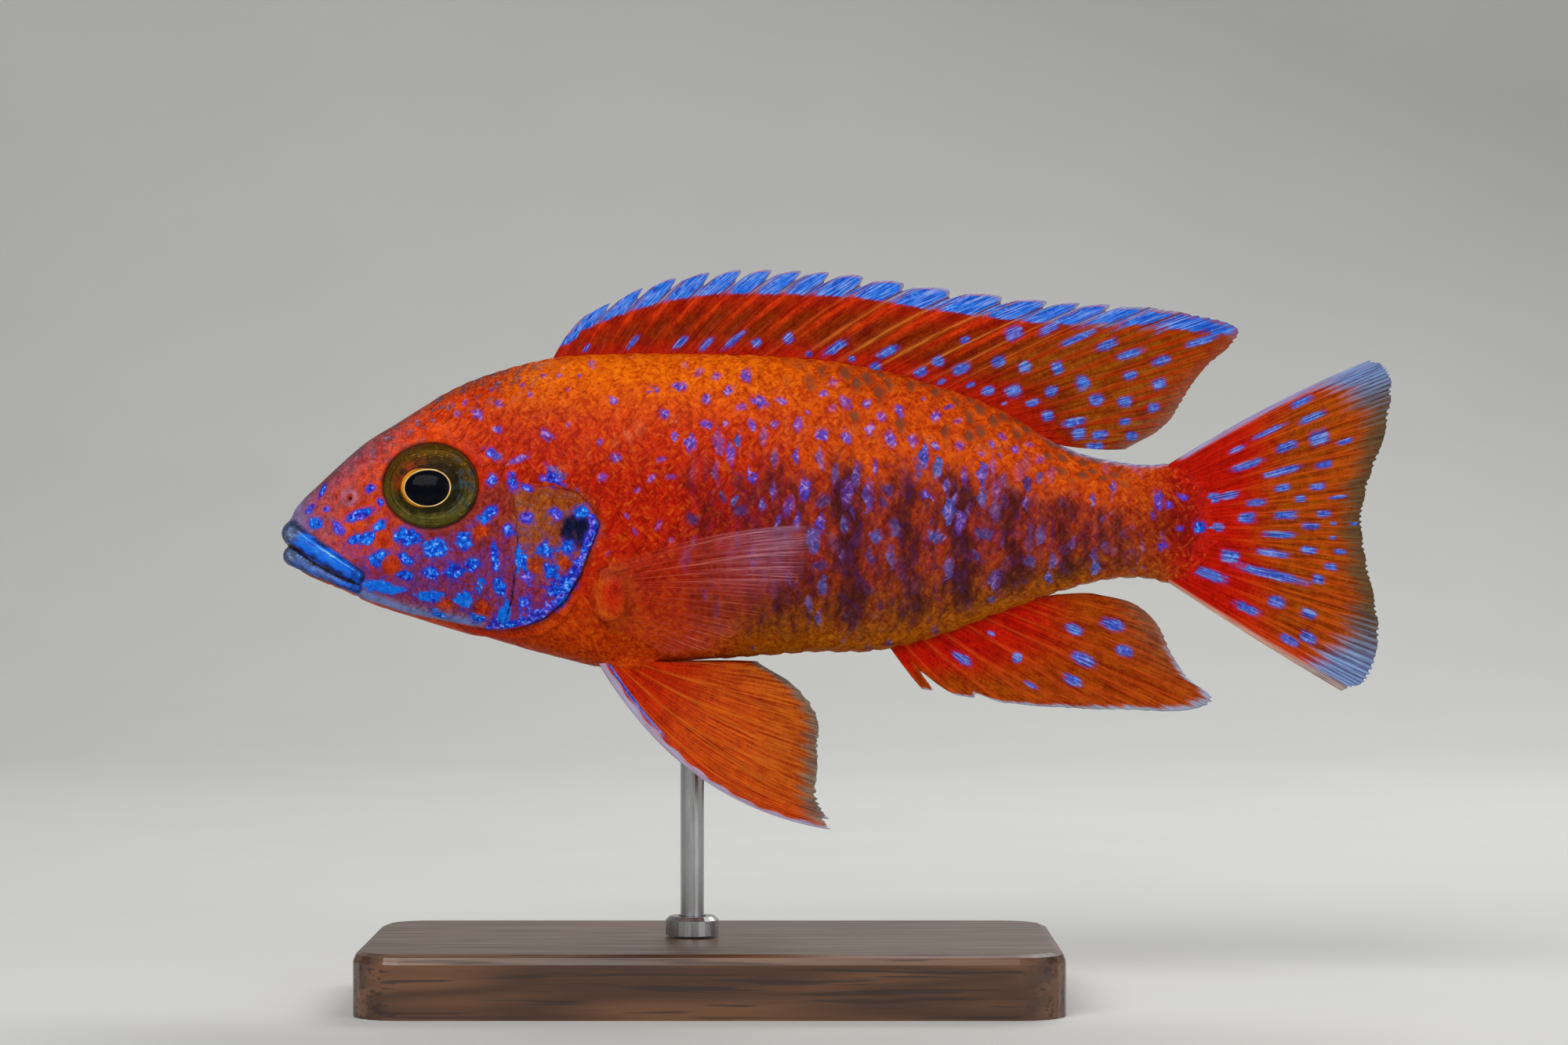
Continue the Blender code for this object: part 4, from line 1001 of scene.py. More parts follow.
def head_relief(x, h):
    """(rise in millimetres, painted shade) of the folds and plates of the head over the side view."""
    rise, dark = np.zeros_like(x), np.zeros_like(x)
    for line, raised_side, starts, ends, edge, (dark_at, dark_width, darkness) in PLATES:
        gap, side, along = line_distance(x, h, line)
        t, window = np.where(side * raised_side > 0, gap, -gap), ease(*starts, along) * ease(*ends, along)
        rise += window * step(t, *edge)
        dark = np.maximum(dark, window * hump(t, dark_at, dark_width) * darkness)
    gap, side, along = line_distance(x, h, PREOPERCLE)
    window = ease(0.0, 0.15, along) * ease(1.0, 0.9, along)
    rise += window * (np.where(side < 0, 0.16, 0.0) * hump(gap, 0.0, 1.2) - 0.3 * hump(gap, 0.0, 0.2))
    dark = np.maximum(dark, window * hump(gap, 0.0, 0.13) * 0.95)
    gap, _, along = line_distance(x, h, CLEFT)
    rise -= 0.35 * hump(gap, 0.0, 0.25) * ease(1.0, 0.9, along)
    dark = np.maximum(dark, hump(gap, 0.0, 0.24))
    gap, _, along = line_distance(x, h, MAXILLA)
    rise -= 0.25 * hump(gap, 0.0, 0.3) * ease(0.0, 0.3, along)
    dark = np.maximum(dark, hump(gap, 0.0, 0.2) * 0.5)
    ring = np.hypot(x - NOSTRIL[0], h - NOSTRIL[1])
    rise += 0.2 * hump(ring, 0.6, 0.22) - 0.6 * hump(ring, 0.0, 0.3)
    dark = np.maximum(dark, hump(ring, 0.0, 0.32) * 0.95)
    for pore_x, pore_h in PORES:
        pit = hump(np.hypot(x - pore_x, h - pore_h), 0.0, 0.3)
        rise -= 0.16 * pit
        dark = np.maximum(dark, 0.35 * pit)
    rise += 0.35 * hump(x, -47, 6) * hump(h, -6, 5) + 0.25 * hump(x, -35.5, 4) * hump(h, -4, 6)
    rise -= 0.3 * hump(x, -60.5, 3) * hump(h, 0.5, 2.5)
    return rise, dark


def lip_masks(x, h):
    """(lips, how bright their painted highlight is, the fold round them where shade is painted, how grey
    they are) over the side view.
    """
    lips, shine, outline, dull = np.zeros((4, len(x)))
    for front_h, corner_h, front_radius, corner_radius in (UPPER_LIP, LOWER_LIP):
        spots = [lip_centre(np.array(share), front_h, corner_h) for share in np.linspace(0.5, 1.0, 9)]
        line = tuple((float(spot[0]), float(spot[2])) for spot in spots)
        gap, side, along = line_distance(x, h, line)
        radius = front_radius + (corner_radius - front_radius) * along
        here = ease(1.16, 1.0, gap / radius)
        lips = np.maximum(lips, here)
        lift = np.where(side > 0, gap, -gap) / radius
        # wet is a painted highlight over the lip's roll, brightest on its middle, with a narrow painted
        # highlight line above it
        wet = hump(lift, 0.0, 0.6) * 0.5
        wet = np.maximum(wet, hump(lift, 0.5, 0.13) * ease(0.02, 0.3, along) * 0.95)
        shine = np.where(here > 0.5, wet, shine)
        lower = 0.62 if front_h == LOWER_LIP[0] else 0.0
        dull = np.where(here > 0.5, np.maximum(ease(0.36, 0.14, along), lower * ease(1.0, 0.6, along)), dull)
        outline = np.maximum(outline, hump(gap / radius, 1.12, 0.1) * (x > -69.0))
    return lips, shine, outline, dull


def skin_mesh():
    """The whole skin, with the relief of the head, the lips and the rims of the eyes."""
    mesh = welded([body_core(), lip(*UPPER_LIP), lip(*LOWER_LIP), *fin_lobes()], SKIN_VOXEL)
    refined(mesh, HEAD_END)
    points, normals = verts_of(mesh) / MM - (0, 0, AXIS_HEIGHT), verts_of(mesh, "normal")
    x, h = points[:, 0], points[:, 2]
    rise, dark = head_relief(x, h)
    outside, facing = eye_reach(points)
    beyond = outside * 5.2  # roughly in millimetres
    rise += 0.12 * hump(beyond, 0.6, 0.4) - 0.3 * hump(beyond, 0.0, 0.22)
    # Painted shade in the groove round each eye
    dark = np.maximum(dark, hump(beyond, 0.0, 0.3) * 0.9)
    head = ease(HEAD_END + 0.5, HEAD_END - 1.5, x)
    points += normals * (rise * head)[:, None]
    points -= facing * (np.clip(-outside, 0, 1) * SOCKET_DEPTH)[:, None]
    set_verts(mesh, (points + (0, 0, AXIS_HEIGHT)) * MM)
    x, h = points[:, 0], points[:, 2]
    head = ease(HEAD_END + 0.5, HEAD_END - 1.5, x)
    lips, shine, round_lips, dull = lip_masks(x, h)
    # Painted shade in the fold round the lips
    dark = np.maximum(dark, 0.7 * round_lips)
    marks = flesh_marks(x, h)
    marks[:, 2] *= 1 - lips
    colour_layer(mesh, "ground", flesh_ground(x, h))
    colour_layer(mesh, "marks", marks)
    # traits: the lips, the painted shade of the head, the painted highlight of the lips, and how grey the
    # lips are
    colour_layer(mesh, "traits", np.column_stack((lips, dark * head, shine, dull)))
    return mesh


def unwrap_skin(mesh):
    """A map of the skin by x and the way round it, each side on its own half."""
    corners = read(mesh.loops, "vertex_index")
    sizes, starts = read(mesh.polygons, "loop_total"), read(mesh.polygons, "loop_start")
    points = verts_of(mesh) / MM - (0, 0, AXIS_HEIGHT)
    points[:, 1] -= sway_at(points[:, 0])
    centres = np.add.reduceat(points[corners, 1], starts) / sizes
    level = profile_at(points[:, 0])[3]
    turn = np.arctan2(np.abs(points[:, 1]) * 2.2, points[:, 2] - level) / math.pi
    flat = np.column_stack((flat_along(points[:, 0]), flat_round(turn)))[corners]
    flat[:, 0] += np.repeat(np.where(centres < 0, 0.0, 0.5), sizes)
    uv_corners(mesh, "OFBake", flat)


def flat_along(x):
    """Place of x on the unwrap of the left side."""
    return 0.015 + 0.465 * (np.asarray(x) - SNOUT_X + 2) / (SHEATH_END_X - SNOUT_X + 4)


def flat_round(share):
    """Place on the unwrap of a share of the way round."""
    return 0.02 + 0.96 * np.asarray(share)


def freckled(nodes, tint, freckles):
    """A colour with greyish brown blotches and pale lilac flecks."""
    flesh = settings().flesh
    blotch = nodes.noise(nodes.place(), 1.1, 3.0, 0.65)
    share = nodes.times(nodes.span(blotch, 0.5, 0.58), nodes.times(freckles, 0.9))
    tint = nodes.mix(tint, nodes.mix(flesh.freckle, flesh.snout, nodes.span(blotch, 0.6, 0.68)), share)
    fleck = nodes.plus(nodes.noise(nodes.place(), 0.5, 2.0, 0.6), nodes.times(blotch, 0.4))
    return nodes.mix(tint, flesh.sparkle, nodes.times(nodes.span(fleck, 0.82, 0.92, 0.0, 0.8), freckles))


def flesh_base(nodes, tint, bars, haze):
    """Ground colour with its bars and violet haze, broken by upright streaks."""
    flesh = settings().flesh
    streak = nodes.noise(nodes.place((1.0, 1.0, 0.4)), 1.0, 3.0, 0.6)
    ragged = nodes.plus(bars, nodes.span(streak, 0.3, 0.7, -0.22, 0.22, False))
    ragged = nodes.times(ragged, nodes.span(bars, 0.0, 0.25))
    dark = nodes.times(nodes.span(ragged, -0.05, 0.9), 0.9)
    wisps = nodes.noise(nodes.place((1.0, 1.0, 0.45)), 1.1, 3.0, 0.6)
    violet = nodes.plus(haze, nodes.span(wisps, 0.34, 0.66, 0.5, -0.7, False))
    veil = nodes.times(nodes.span(violet, 0.1, 1.1), nodes.span(haze, 0.0, 0.15, 0.0, 0.65))
    bar_tint = nodes.mix(flesh.bar, flesh.night, nodes.span(wisps, 0.5, 0.66))
    return nodes.mix(nodes.mix(tint, flesh.haze, veil), bar_tint, dark)


def skin_material():
    """Wet skin: pigment, blue marks, glossy blue lips with a painted highlight, and painted shade in the
    folds.
    """
    flesh = settings().flesh
    made, nodes, shader = new_material("skin")
    ground, _, _, _, freckles = nodes.layer("ground")
    _, bars, haze, field, hue = nodes.layer("marks")
    _, lips, dark, shine, dull = nodes.layer("traits")
    pigment = nodes.group(mottle_group(), {"Color": ground, "Cloud": 0.7, "Grain": 0.7})
    tint = flesh_base(nodes, freckled(nodes, pigment["Color"], freckles), bars, haze)
    # The lips' colour follows their painted highlight: dark blue where the roll turns away, glint colour on
    # the highlight, broken by mottled veins; the grey front of the lips the same way
    vein = nodes.noise(nodes.place((0.35, 0.6, 1.0), 0.5), 0.6, 3.0, 0.65)
    glow = nodes.plus(shine, nodes.span(vein, 0.3, 0.7, -0.3, 0.4, False))
    blues = ((0.0, paint(22, 40, 110)), (0.35, flesh.lip), (0.8, paint(30, 128, 228)))
    blues += ((1.0, settings().blues.glint),)
    greys = ((0.0, paint(46, 56, 84)), (0.45, paint(88, 100, 128)), (1.0, paint(168, 184, 204)))
    worn = nodes.plus(dull, nodes.span(vein, 0.35, 0.65, 0.35, -0.35, False), True)
    tint = nodes.mix(tint, nodes.mix(nodes.ramp(glow, blues), nodes.ramp(glow, greys), worn), lips)
    inputs = {"Ground": tint, "Field": field, "Hue": hue, "Raggedness": 0.55, "Softness": 0.06, "Grain": 0.7}
    blue = nodes.group(blue_marks_group(), inputs)
    height = nodes.plus(pigment["Height"], nodes.times(blue["Height"], blue["Mask"]))
    rough = nodes.span(pigment["Height"], 0.3, 0.7, 0.50, 0.34, False)
    inputs = {
        # Painted shade of the folds, slits, pits and eye rims, in the near-black fold colour
        "Base Color": nodes.mix(blue["Color"], flesh.fold_shade_and_dark_patch, nodes.span(dark, 0.15, 0.95)),
        "Roughness": nodes.minus(rough, nodes.times(lips, 0.14)),
        "Specular IOR Level": 0.04, "Coat Weight": 0.03, "Coat Roughness": 0.2,
        "Normal": nodes.bump(height, 0.05, 0.6),
    }
    nodes.fill(shader, inputs)
    return made


# Scales

SCALE_GRID = (5, 4)  # faces across and along the top of one scale
NOMINAL_PITCH = 2.9  # the pitch at which a scale has its full lift and thickness
HEEL_SUNK = 0.1  # how far a scale's root lies under the skin
FLAT_PATCH = 0.0015  # half the side of a scale's square on the unwrap
SPOT_REACH = 2.3  # how near to a spot of the flank a scale takes part in it


def scale_plate():
    """One scale as a closed plate in its own measure: x from -1 to 1 across, y from 0 at the root to 1 at the
    free edge, z 0 above and -1 below."""
    bm = bmesh.new()
    bmesh.ops.create_grid(bm, x_segments=SCALE_GRID[0], y_segments=SCALE_GRID[1], size=1.0)
    for vert in bm.verts:
        vert.co.y = (vert.co.y + 1) / 2
    below = bmesh.ops.extrude_face_region(bm, geom=bm.faces[:], use_keep_orig=True)["geom"]
    for part in below:
        if isinstance(part, bmesh.types.BMVert):
            part.co.z = -1
    bmesh.ops.recalc_face_normals(bm, faces=bm.faces)
    return as_mesh(bm, "plate")


def repeated(mesh, count):
    """A mesh with many copies of another, vertex for vertex in order."""
    size, shift = len(mesh.vertices), np.arange(count)[:, None]
    corners = read(mesh.loops, "vertex_index")
    starts, totals = read(mesh.polygons, "loop_start"), read(mesh.polygons, "loop_total")
    made = bpy.data.meshes.new("copies")
    made.vertices.add(size * count)
    made.loops.add(len(corners) * count)
    made.polygons.add(len(starts) * count)
    made.loops.foreach_set("vertex_index", (corners[None] + shift * size).ravel().astype(np.int32))
    made.polygons.foreach_set("loop_start", (starts[None] + shift * len(corners)).ravel().astype(np.int32))
    made.polygons.foreach_set("loop_total", np.tile(totals, count).astype(np.int32))
    made.update(calc_edges=True)
    return made


GILL_REAR = sorted((h, x) for x, h in GILL_EDGE[1:10])  # the gill cover's rear edge as (h, x), from below


def behind_gill(x, h):
    """x moved back to just behind the gill cover's rear edge."""
    near = (h > GILL_REAR[0][0]) & (h < GILL_REAR[-1][0])
    return np.where(near, np.maximum(x, read_line(GILL_REAR, h) + 0.2), x)


def lattice(first_x, last_x, rows, pitch_at):
    """(x, share of the way round, pitch) of scales that overlap like tiles, odd rows half a pitch back."""
    columns, x = [], first_x
    while x < last_x:
        columns.append((x, pitch_at(x)))
        x += pitch_at(x)
    cells = [
        (x + (row % 2) * pitch / 2, (row + 0.5) / rows, pitch) for x, pitch in columns for row in range(rows)
    ]
    return np.array(cells).T


def lay_scales(name, cells, side, rows, flank, tree, traits, marks, clamp, low):
    """One piece of overlapping scales on one side. For each scale cells give (x, share of the way round,
    pitch), traits (shade, smudge, tone of its mark, how strong it is) and marks (x, h, half length, half
    width, turn) of its mark. clamp keeps scales behind the gill cover's edge, and low is the share of the
    lift that they have."""
    sizes = settings().scales
    x0, share0, pitch0 = cells
    rng = np.random.default_rng(len(x0))
    plate = scale_plate()
    local = verts_of(plate)
    mesh = repeated(plate, len(x0))
    across, up, under = np.tile(local, (len(x0), 1)).T
    each = np.repeat(np.arange(len(x0)), len(local))
    pitch, girth = pitch0[each], flank.girth(x0)[each]

    def varied(mean, spread):
        return rng.normal(mean, spread, len(x0))[each]

    # Outline: rounded heel under the row before, rounder free edge, a row and a bit wide
    grow = varied(1.0, 0.04)
    step_x = pitch * grow
    angle = across * math.pi / 2 * 0.97
    heel = -0.75 * step_x * (1 - 0.25 * np.sin(angle) ** 2)
    rim = step_x * (-0.15 + 0.80 * np.cos(angle) ** 0.8)
    along, down = heel + (rim - heel) * up, 1.28 * (girth / rows) * grow * np.sin(angle)
    lean = varied(0.0, 0.05)
    along, down = along - down * lean, down + along * lean
    x, share = x0[each] + along, share0[each] + down / girth
    spots = flank.point(x, share, side)
    if clamp:
        x = behind_gill(x, spots[:, 2])
        spots = flank.point(x, share, side)

    # Height over the skin: sunk at the heel, proud at the free edge and domed between
    normals = flank.normal(x, share, side)
    scale = (pitch / NOMINAL_PITCH) ** 0.7
    proud = low * sizes.lift * scale * varied(1.0, 0.12)
    lift = -HEEL_SUNK + (proud + HEEL_SUNK) * up + 0.07 * scale * (1 - across**2) * np.sin(math.pi * up)
    lift += under * sizes.thickness * scale * (0.5 + 0.5 * up)
    on_skin = np.array([tree.find_nearest(point)[0] for point in placed(*spots.T)])
    final = on_skin + normals * (lift * MM)[:, None]
    set_verts(mesh, final)
    place_x, place_h = final[:, 0] / MM, final[:, 2] / MM - AXIS_HEIGHT
    mesh.shade_smooth()
    mesh.set_sharp_from_angle(angle=math.radians(50))
    colour_layer(mesh, "ground", flesh_ground(place_x, place_h))
    colour_layer(mesh, "marks", flesh_marks(place_x, place_h))
    colour_layer(mesh, "traits", traits[each])
    half = 0.5 if side > 0 else 0.0
    flat_x = flat_along(x0[each]) + half + FLAT_PATCH * (2 * up - 1)
    uv_layer(mesh, "OFBake", np.column_stack((flat_x, flat_round(share0[each]) + FLAT_PATCH * across)))
    if marks is not None:
        mark_x, mark_h, half_long, half_wide, turn = marks[each].T
        off_x, off_h = place_x - mark_x, place_h - mark_h
        far = off_x * np.cos(turn) + off_h * np.sin(turn), off_h * np.cos(turn) - off_x * np.sin(turn)
        uv_layer(mesh, "mark", np.column_stack((far[0] / half_long, far[1] / half_wide)))
    uv_layer(mesh, "scale", np.column_stack(((across + 1) / 2, up)))
    wide, high = across * 1.3, up + 0.5
    uv_layer(mesh, "fan", np.column_stack((np.arctan2(wide, high), np.hypot(wide, high))))
    show(name, mesh, scale_material())


def flank_marks(x, h, rng):
    """(shade, smudge, tone and strength of its mark) of the scales of the flank, and (x, h, half length, half
    width, turn) of each one's mark."""
    up, down = levels_at(x, h)
    lateral = read_line(LATERAL_LINE, x)
    lined = (np.abs(h - lateral) < 1.0) & (x > -24) & (x < 17)
    lined |= (np.abs(h - 4.4) < 0.8) & (x > 23) & (x < 37)
    line_above = (np.abs(h - lateral - 4.1) < 0.95) & (x > -26) & (x < 16)
    middle = ((h < lateral - 1.2) | (down > 0)) & (down < 0.75) & (x > -21)
    low_down = (down > 0.62) & (x > -14)

    # How likely a scale has a mark
    chance = 0.34 * ease(0.02, 0.2, up) * ease(0.97, 0.85, up)
    chance = np.where((up < 0.12) & (x < -21), 0.35 * ease(0.5, 0.3, down), chance)
    chance = np.where(lined, 0.95, np.where(line_above, 0.8, chance))
    chance = np.where(middle, 0.62 + 0.2 * (x < 14) * (down < 0.2), chance)
    chance = np.where((h < lateral - 1.5) & (down < 0.4) & (x < -16) & (x > -34), 0.6, chance)
    chance = np.where(low_down, 0.2, chance) * (1 - 0.45 * ease(22, 32, x)) * ease(43, 38, x)

    # Size, turn, tone and strength of the marks: upright on the middle of the flank and rounder elsewhere
    lined |= line_above
    weak = middle | low_down
    draw = rng.random((6, len(x)))
    column = np.max([hump(x + 0.06 * h, gap_x, 1.7) for gap_x in BAR_GAPS], axis=0)
    half_long = np.where(lined, 0.5 + 0.4 * draw[0], 0.25 + 0.4 * draw[0])
    half_long = np.where(middle, 0.6 + 0.9 * draw[0] ** 2 + 0.35 * column, half_long)
    half_wide = half_long * np.where(middle, 0.34 + 0.2 * draw[1], 0.55 + 0.35 * draw[1])
    turn = np.radians(np.where(middle, 75 + 30 * draw[2], -60 + 120 * draw[2]))
    tone = np.where(weak, np.where(draw[3] < 0.15, 0.85, 0.2 + 0.5 * draw[3]), 0.72 + 0.28 * draw[3])
    tone = np.where(middle & (column > 0.5), 0.5 + 0.2 * draw[3], tone)
    barred = flesh_marks(x, h)[:, 0] > 0.6
    tone = np.where(middle & barred, 0.3 * draw[3] + 0.4 * (draw[3] > 0.8), tone)
    pale = 0.18 + 0.25 * draw[4] + (0.34 + 0.2 * draw[4]) * column
    strength = np.where(weak, pale, 0.4 + 0.4 * draw[4])
    strength *= np.where(middle, 1 - 0.45 * ease(0.3, 0.5, up) * ease(12, 22, x), 1.0)
    lively = middle & (up < 0.5) & (down < 0.15) & (x > -16) & (x < 16)
    strength, half_long = strength + 0.3 * lively, half_long + 0.3 * lively
    half_wide, tone = half_wide + 0.12 * lively, np.where(lively, 0.55 + 0.3 * draw[3], tone)
    strength = np.where(lined, 0.65 + 0.3 * draw[4], strength) * (draw[5] < chance)
    smudge = ease(0.42, 0.62, up) * ease(-11, 0, x) * ease(40, 33, x) * (rng.random(len(x)) < 0.85)
    smudge = np.maximum(smudge, 0.5 * ease(0.8, 0.95, up) * ease(-34, -42, x) * (rng.random(len(x)) < 0.6))
    smudge *= strength < 0.1
    mark_x, mark_h = x + rng.normal(0.5, 0.3, len(x)), h + rng.normal(0, 0.3, len(x))
    spots = np.column_stack((mark_x, mark_h, half_long, half_wide, turn))
    for mark in FLANK_SPOTS:
        mark_x, mark_h, mark_long, mark_wide = (part / 10 for part in mark[:4])
        near = np.hypot(x + 0.5 - mark_x, h - mark_h) < SPOT_REACH
        spots[near] = mark_x, mark_h, mark_long, mark_wide, math.radians(mark[4])
        tone[near], strength[near] = mark[5] / 9 * 0.9, 0.85
    return np.column_stack((rng.random(len(x)), smudge, tone, strength)), spots


def scale_material():
    """Scales: slanting strokes of colour, dark free edges, smudges, bars, and spots of violet and blue."""
    if "scales" in bpy.data.materials:
        return bpy.data.materials["scales"]
    flesh = settings().flesh
    made, nodes, shader = new_material("scales")
    ground, _, _, _, freckles = nodes.layer("ground")
    _, bars, haze, field, hue = nodes.layer("marks")
    trait, shade, smudge, tone, strength = nodes.layer("traits")
    across, up = nodes.add("ShaderNodeSeparateXYZ", {0: nodes.flat("scale")}).outputs[:2]
    fan = nodes.streaks(nodes.flat("fan", (7.0, 2.6, 1.0), nodes.vector("SCALE", trait, 9.0)))
    pigment = nodes.group(mottle_group(), {"Color": ground, "Cloud": 0.5, "Grain": 0.3})

    # Strokes that slant one way or the other, a patch of scales at a time
    slants = [nodes.noise(nodes.place((1.0, 1.0, 0.38), turn), 0.42, 2.0, 0.6) for turn in (0.75, -0.75)]
    pick = nodes.span(nodes.noise(nodes.place(), 1.3, 1.0), 0.46, 0.54)
    stroke = nodes.add("ShaderNodeMix", {0: pick, 2: slants[0], 3: slants[1]}, data_type="FLOAT").outputs[0]
    stroke = nodes.plus(stroke, nodes.span(fan, 0.3, 0.7, -0.06, 0.06, False))
    share = nodes.span(nodes.plus(stroke, nodes.times(shade, 0.06)), 0.55, 0.38, 0.0, 0.62)
    tint = nodes.stain(pigment["Color"], (0.52, 0.16, 0.14), share)
    red = nodes.add("ShaderNodeSeparateColor", {"Color": ground}).outputs[0]
    bright = nodes.times(nodes.span(stroke, 0.52, 0.7), nodes.span(red, 0.1, 0.5, 0.0, 0.38))
    tint = nodes.mix(tint, nodes.mix(tint, (1.0, 0.30, 0.02), 0.5, "SCREEN"), bright)

    def oval(first, second, high, wide):
        """How far a place lies out in an oval, whose edge is 1."""
        squares = [
            nodes.maths("POWER", nodes.maths("DIVIDE", nodes.maths("ABSOLUTE", value), half), 2.0)
            for value, half in ((first, high), (second, wide))
        ]
        return nodes.maths("SQRT", nodes.plus(*squares))

    # The smudge in the heart of a scale, each a little off its middle
    other = nodes.maths("FRACT", nodes.times(shade, 7.0))
    off_v = nodes.minus(across, nodes.span(shade, 0.0, 1.0, 0.38, 0.62, False))
    off_u = nodes.minus(up, nodes.span(other, 0.0, 1.0, 0.54, 0.74, False))
    blot = nodes.plus(oval(off_v, off_u, 0.17, 0.20), nodes.span(stroke, 0.3, 0.7, 0.6, -0.6, False))
    tint = nodes.mix(tint, flesh.smudge, nodes.times(nodes.span(blot, 1.6, 0.3), nodes.times(smudge, 0.8)))
    tint = flesh_base(nodes, freckled(nodes, tint, freckles), bars, haze)

    # The dark free edge
    aside = nodes.maths("ABSOLUTE", nodes.minus(across, 0.5))
    rim = nodes.plus(up, nodes.times(aside, 0.25))
    edge = nodes.times(nodes.span(rim, 0.84, 1.0), nodes.span(fan, 0.3, 0.6, 0.0, 0.25))
    tint = nodes.stain(tint, (0.32, 0.10, 0.10), edge)

    # The mark of the scale
    mark = nodes.add("ShaderNodeSeparateXYZ", {0: nodes.flat("mark")}).outputs
    dot = nodes.minus(1.0, nodes.times(oval(mark[0], mark[1], 1.0, 1.0), 0.5), True)
    fleck = nodes.noise(nodes.place((1.0, 1.0, 0.6)), 0.5, 2.0, 0.6)
    dot = nodes.plus(dot, nodes.span(fleck, 0.3, 0.7, -0.22, 0.22, False))
    soft = nodes.span(strength, 0.4, 0.9, 0.4, 0.12)
    within = nodes.plus(nodes.minus(dot, 0.5), soft)
    cover = nodes.maths("DIVIDE", within, nodes.times(soft, 2.0), clamp=True)
    stops = (
        (0.0, paint(52, 34, 84)), (0.3, paint(80, 50, 104)), (0.58, paint(76, 88, 160)),
        (0.8, paint(78, 68, 196)), (1.0, paint(126, 82, 188)),
    )
    # Painted highlights: pale pink lilac streaks across the spots
    pale = nodes.times(nodes.span(stroke, 0.52, 0.64), nodes.span(tone, 0.4, 0.8, 0.1, 0.6))
    dot_tint = nodes.mix(nodes.ramp(tone, stops), settings().blues.blush, pale)
    dot_tint = nodes.mix(dot_tint, flesh.night, nodes.span(stroke, 0.46, 0.36, 0.0, 0.55))
    fringe = nodes.times(nodes.span(dot, 0.1, 0.5, 0.0, 0.4), nodes.times(strength, tone))
    tint = nodes.mix(tint, paint(140, 34, 96), fringe)
    tint = nodes.mix(tint, dot_tint, nodes.times(cover, strength))

    inputs = {
        "Ground": tint, "Field": field, "Hue": hue, "Raggedness": 0.55, "Softness": 0.07, "Grain": 0.7,
        "Fringe": 0.35,
    }
    inputs = {
        "Base Color": nodes.group(blue_marks_group(), inputs)["Color"],
        "Roughness": nodes.span(fan, 0.3, 0.7, 0.5, 0.36, False),
        "Specular IOR Level": 0.04, "Coat Weight": 0.0, "Coat Roughness": 0.25,
        "Normal": nodes.bump(nodes.plus(fan, pigment["Height"]), 0.05, 0.45),
    }
    nodes.fill(shader, inputs)
    return made


def clear_of_fins(x, h, outside):
    """Whether scales at (x, h) keep clear of the eye and of the lobe of the pectoral fin."""
    return (np.hypot((x + 28.7) / 2.4, (h + 9.8) / 3.6) > 1.0) & (outside > 0.16)


def body_scales(tree):
    """The scales of the nape, flanks, belly and tail stem, one piece for each side."""
    sizes = settings().scales

    def pitch_at(x):
        return sizes.pitch * float(0.62 + 0.38 * ease(-49, -28, x)) * float(1 - 0.28 * ease(24, 44, x))

    def choose(x, share, h, outside, rng):
        limit = np.interp(h, (3.6, 9.0, 14.0), (-41.0, -45.0, -52.0))
        limit = np.where(h > 3.6, limit, read_line(GILL_REAR, h) + 0.9)
        limit = np.where(h < GILL_REAR[0][0], -41.0, limit)
        ragged = rng.random(len(x)) > ease(43.5, 47.0, x)
        keep = (x > limit) & clear_of_fins(x, h, outside) & ragged & ~breast(x, share)
        return keep, *flank_marks(x, h, rng)

    cells = lattice(-55.0, SHEATH_END_X - 1.6, sizes.rows, pitch_at)
    scale_pieces("scales", cells, sizes.rows, 11, choose, tree, clamp=True)


def scale_pieces(name, cells, rows, seed, choose, tree, clamp=False, low=1.0):
    """A piece of scales for each side. choose(x, share of the way round, h, how far outside the eye, random
    numbers) gives (which ones stay, their traits, their marks or None)."""
    flank = FlankMap(COAT_DEPTH)
    x, share, _ = cells
    for number, (side, word) in enumerate(SIDES):
        spots = flank.point(x, share, side)
        outside, _ = eye_reach(spots)
        keep, traits, marks = choose(x, share, spots[:, 2], outside, np.random.default_rng(seed + number))
        marks = None if marks is None else marks[keep]
        lay_scales(f"{name}_{word}", cells[:, keep], side, rows, flank, tree, traits[keep], marks, clamp, low)


def breast(x, share):
    """The part of the belly where the scales are small."""
    return share > 0.64 + 0.30 * ease(-26, -14, x)


def breast_scales(tree):
    """The small scales of the breast."""
    sizes = settings().scales

    def choose(x, share, h, outside, rng):
        fold, fold_side, _ = line_distance(x, h, GILL_MEMBRANE)
        clear = (fold_side < 0) & (fold > 0.9) & ~inside_outline(x, h, FACE)
        keep = breast(x, share - 0.02) & clear & clear_of_fins(x, h, outside) & (x > -42)
        return keep, np.column_stack((rng.random(len(x)), *np.zeros((3, len(x))))), None

    cells = lattice(-43.0, -13.0, sizes.face_rows, lambda x: sizes.face_pitch * 1.15)
    scale_pieces("breast_scales", cells, sizes.face_rows, 31, choose, tree, low=0.5)


def face_scales(tree):
    """The small scales of the cheeks and the gill covers."""
    sizes = settings().scales

    def choose(x, share, h, outside, rng):
        edge, _, _ = line_distance(x, h, FACE + FACE[:1])
        fold, fold_side, _ = line_distance(x, h, PREOPERCLE)
        across_fold = ((fold_side < 0) & (fold < 0.75)) | ((fold_side > 0) & (fold < 0.9))
        keep = inside_outline(x, h, FACE) & (edge > 1.1) & (outside > 0.2) & ~across_fold & (x > -55.5)
        return keep, np.column_stack((rng.random(len(x)), *np.zeros((3, len(x))))), None

    cells = lattice(-57.0, -30.5, sizes.face_rows, lambda x: sizes.face_pitch)
    scale_pieces("face_scales", cells, sizes.face_rows, 21, choose, tree)


# Eyes

PUPIL = (-0.42, -0.46, 2.84, 2.26)  # forward, up, and the two half widths
LIMB = 0.80  # share of the way from the pupil's edge to the eyeball's rim where the lids begin
EYE_FRONT, PUPIL_SHARE = 0.62, 0.24  # share of the shell that is the eyeball's front, and of that the pupil


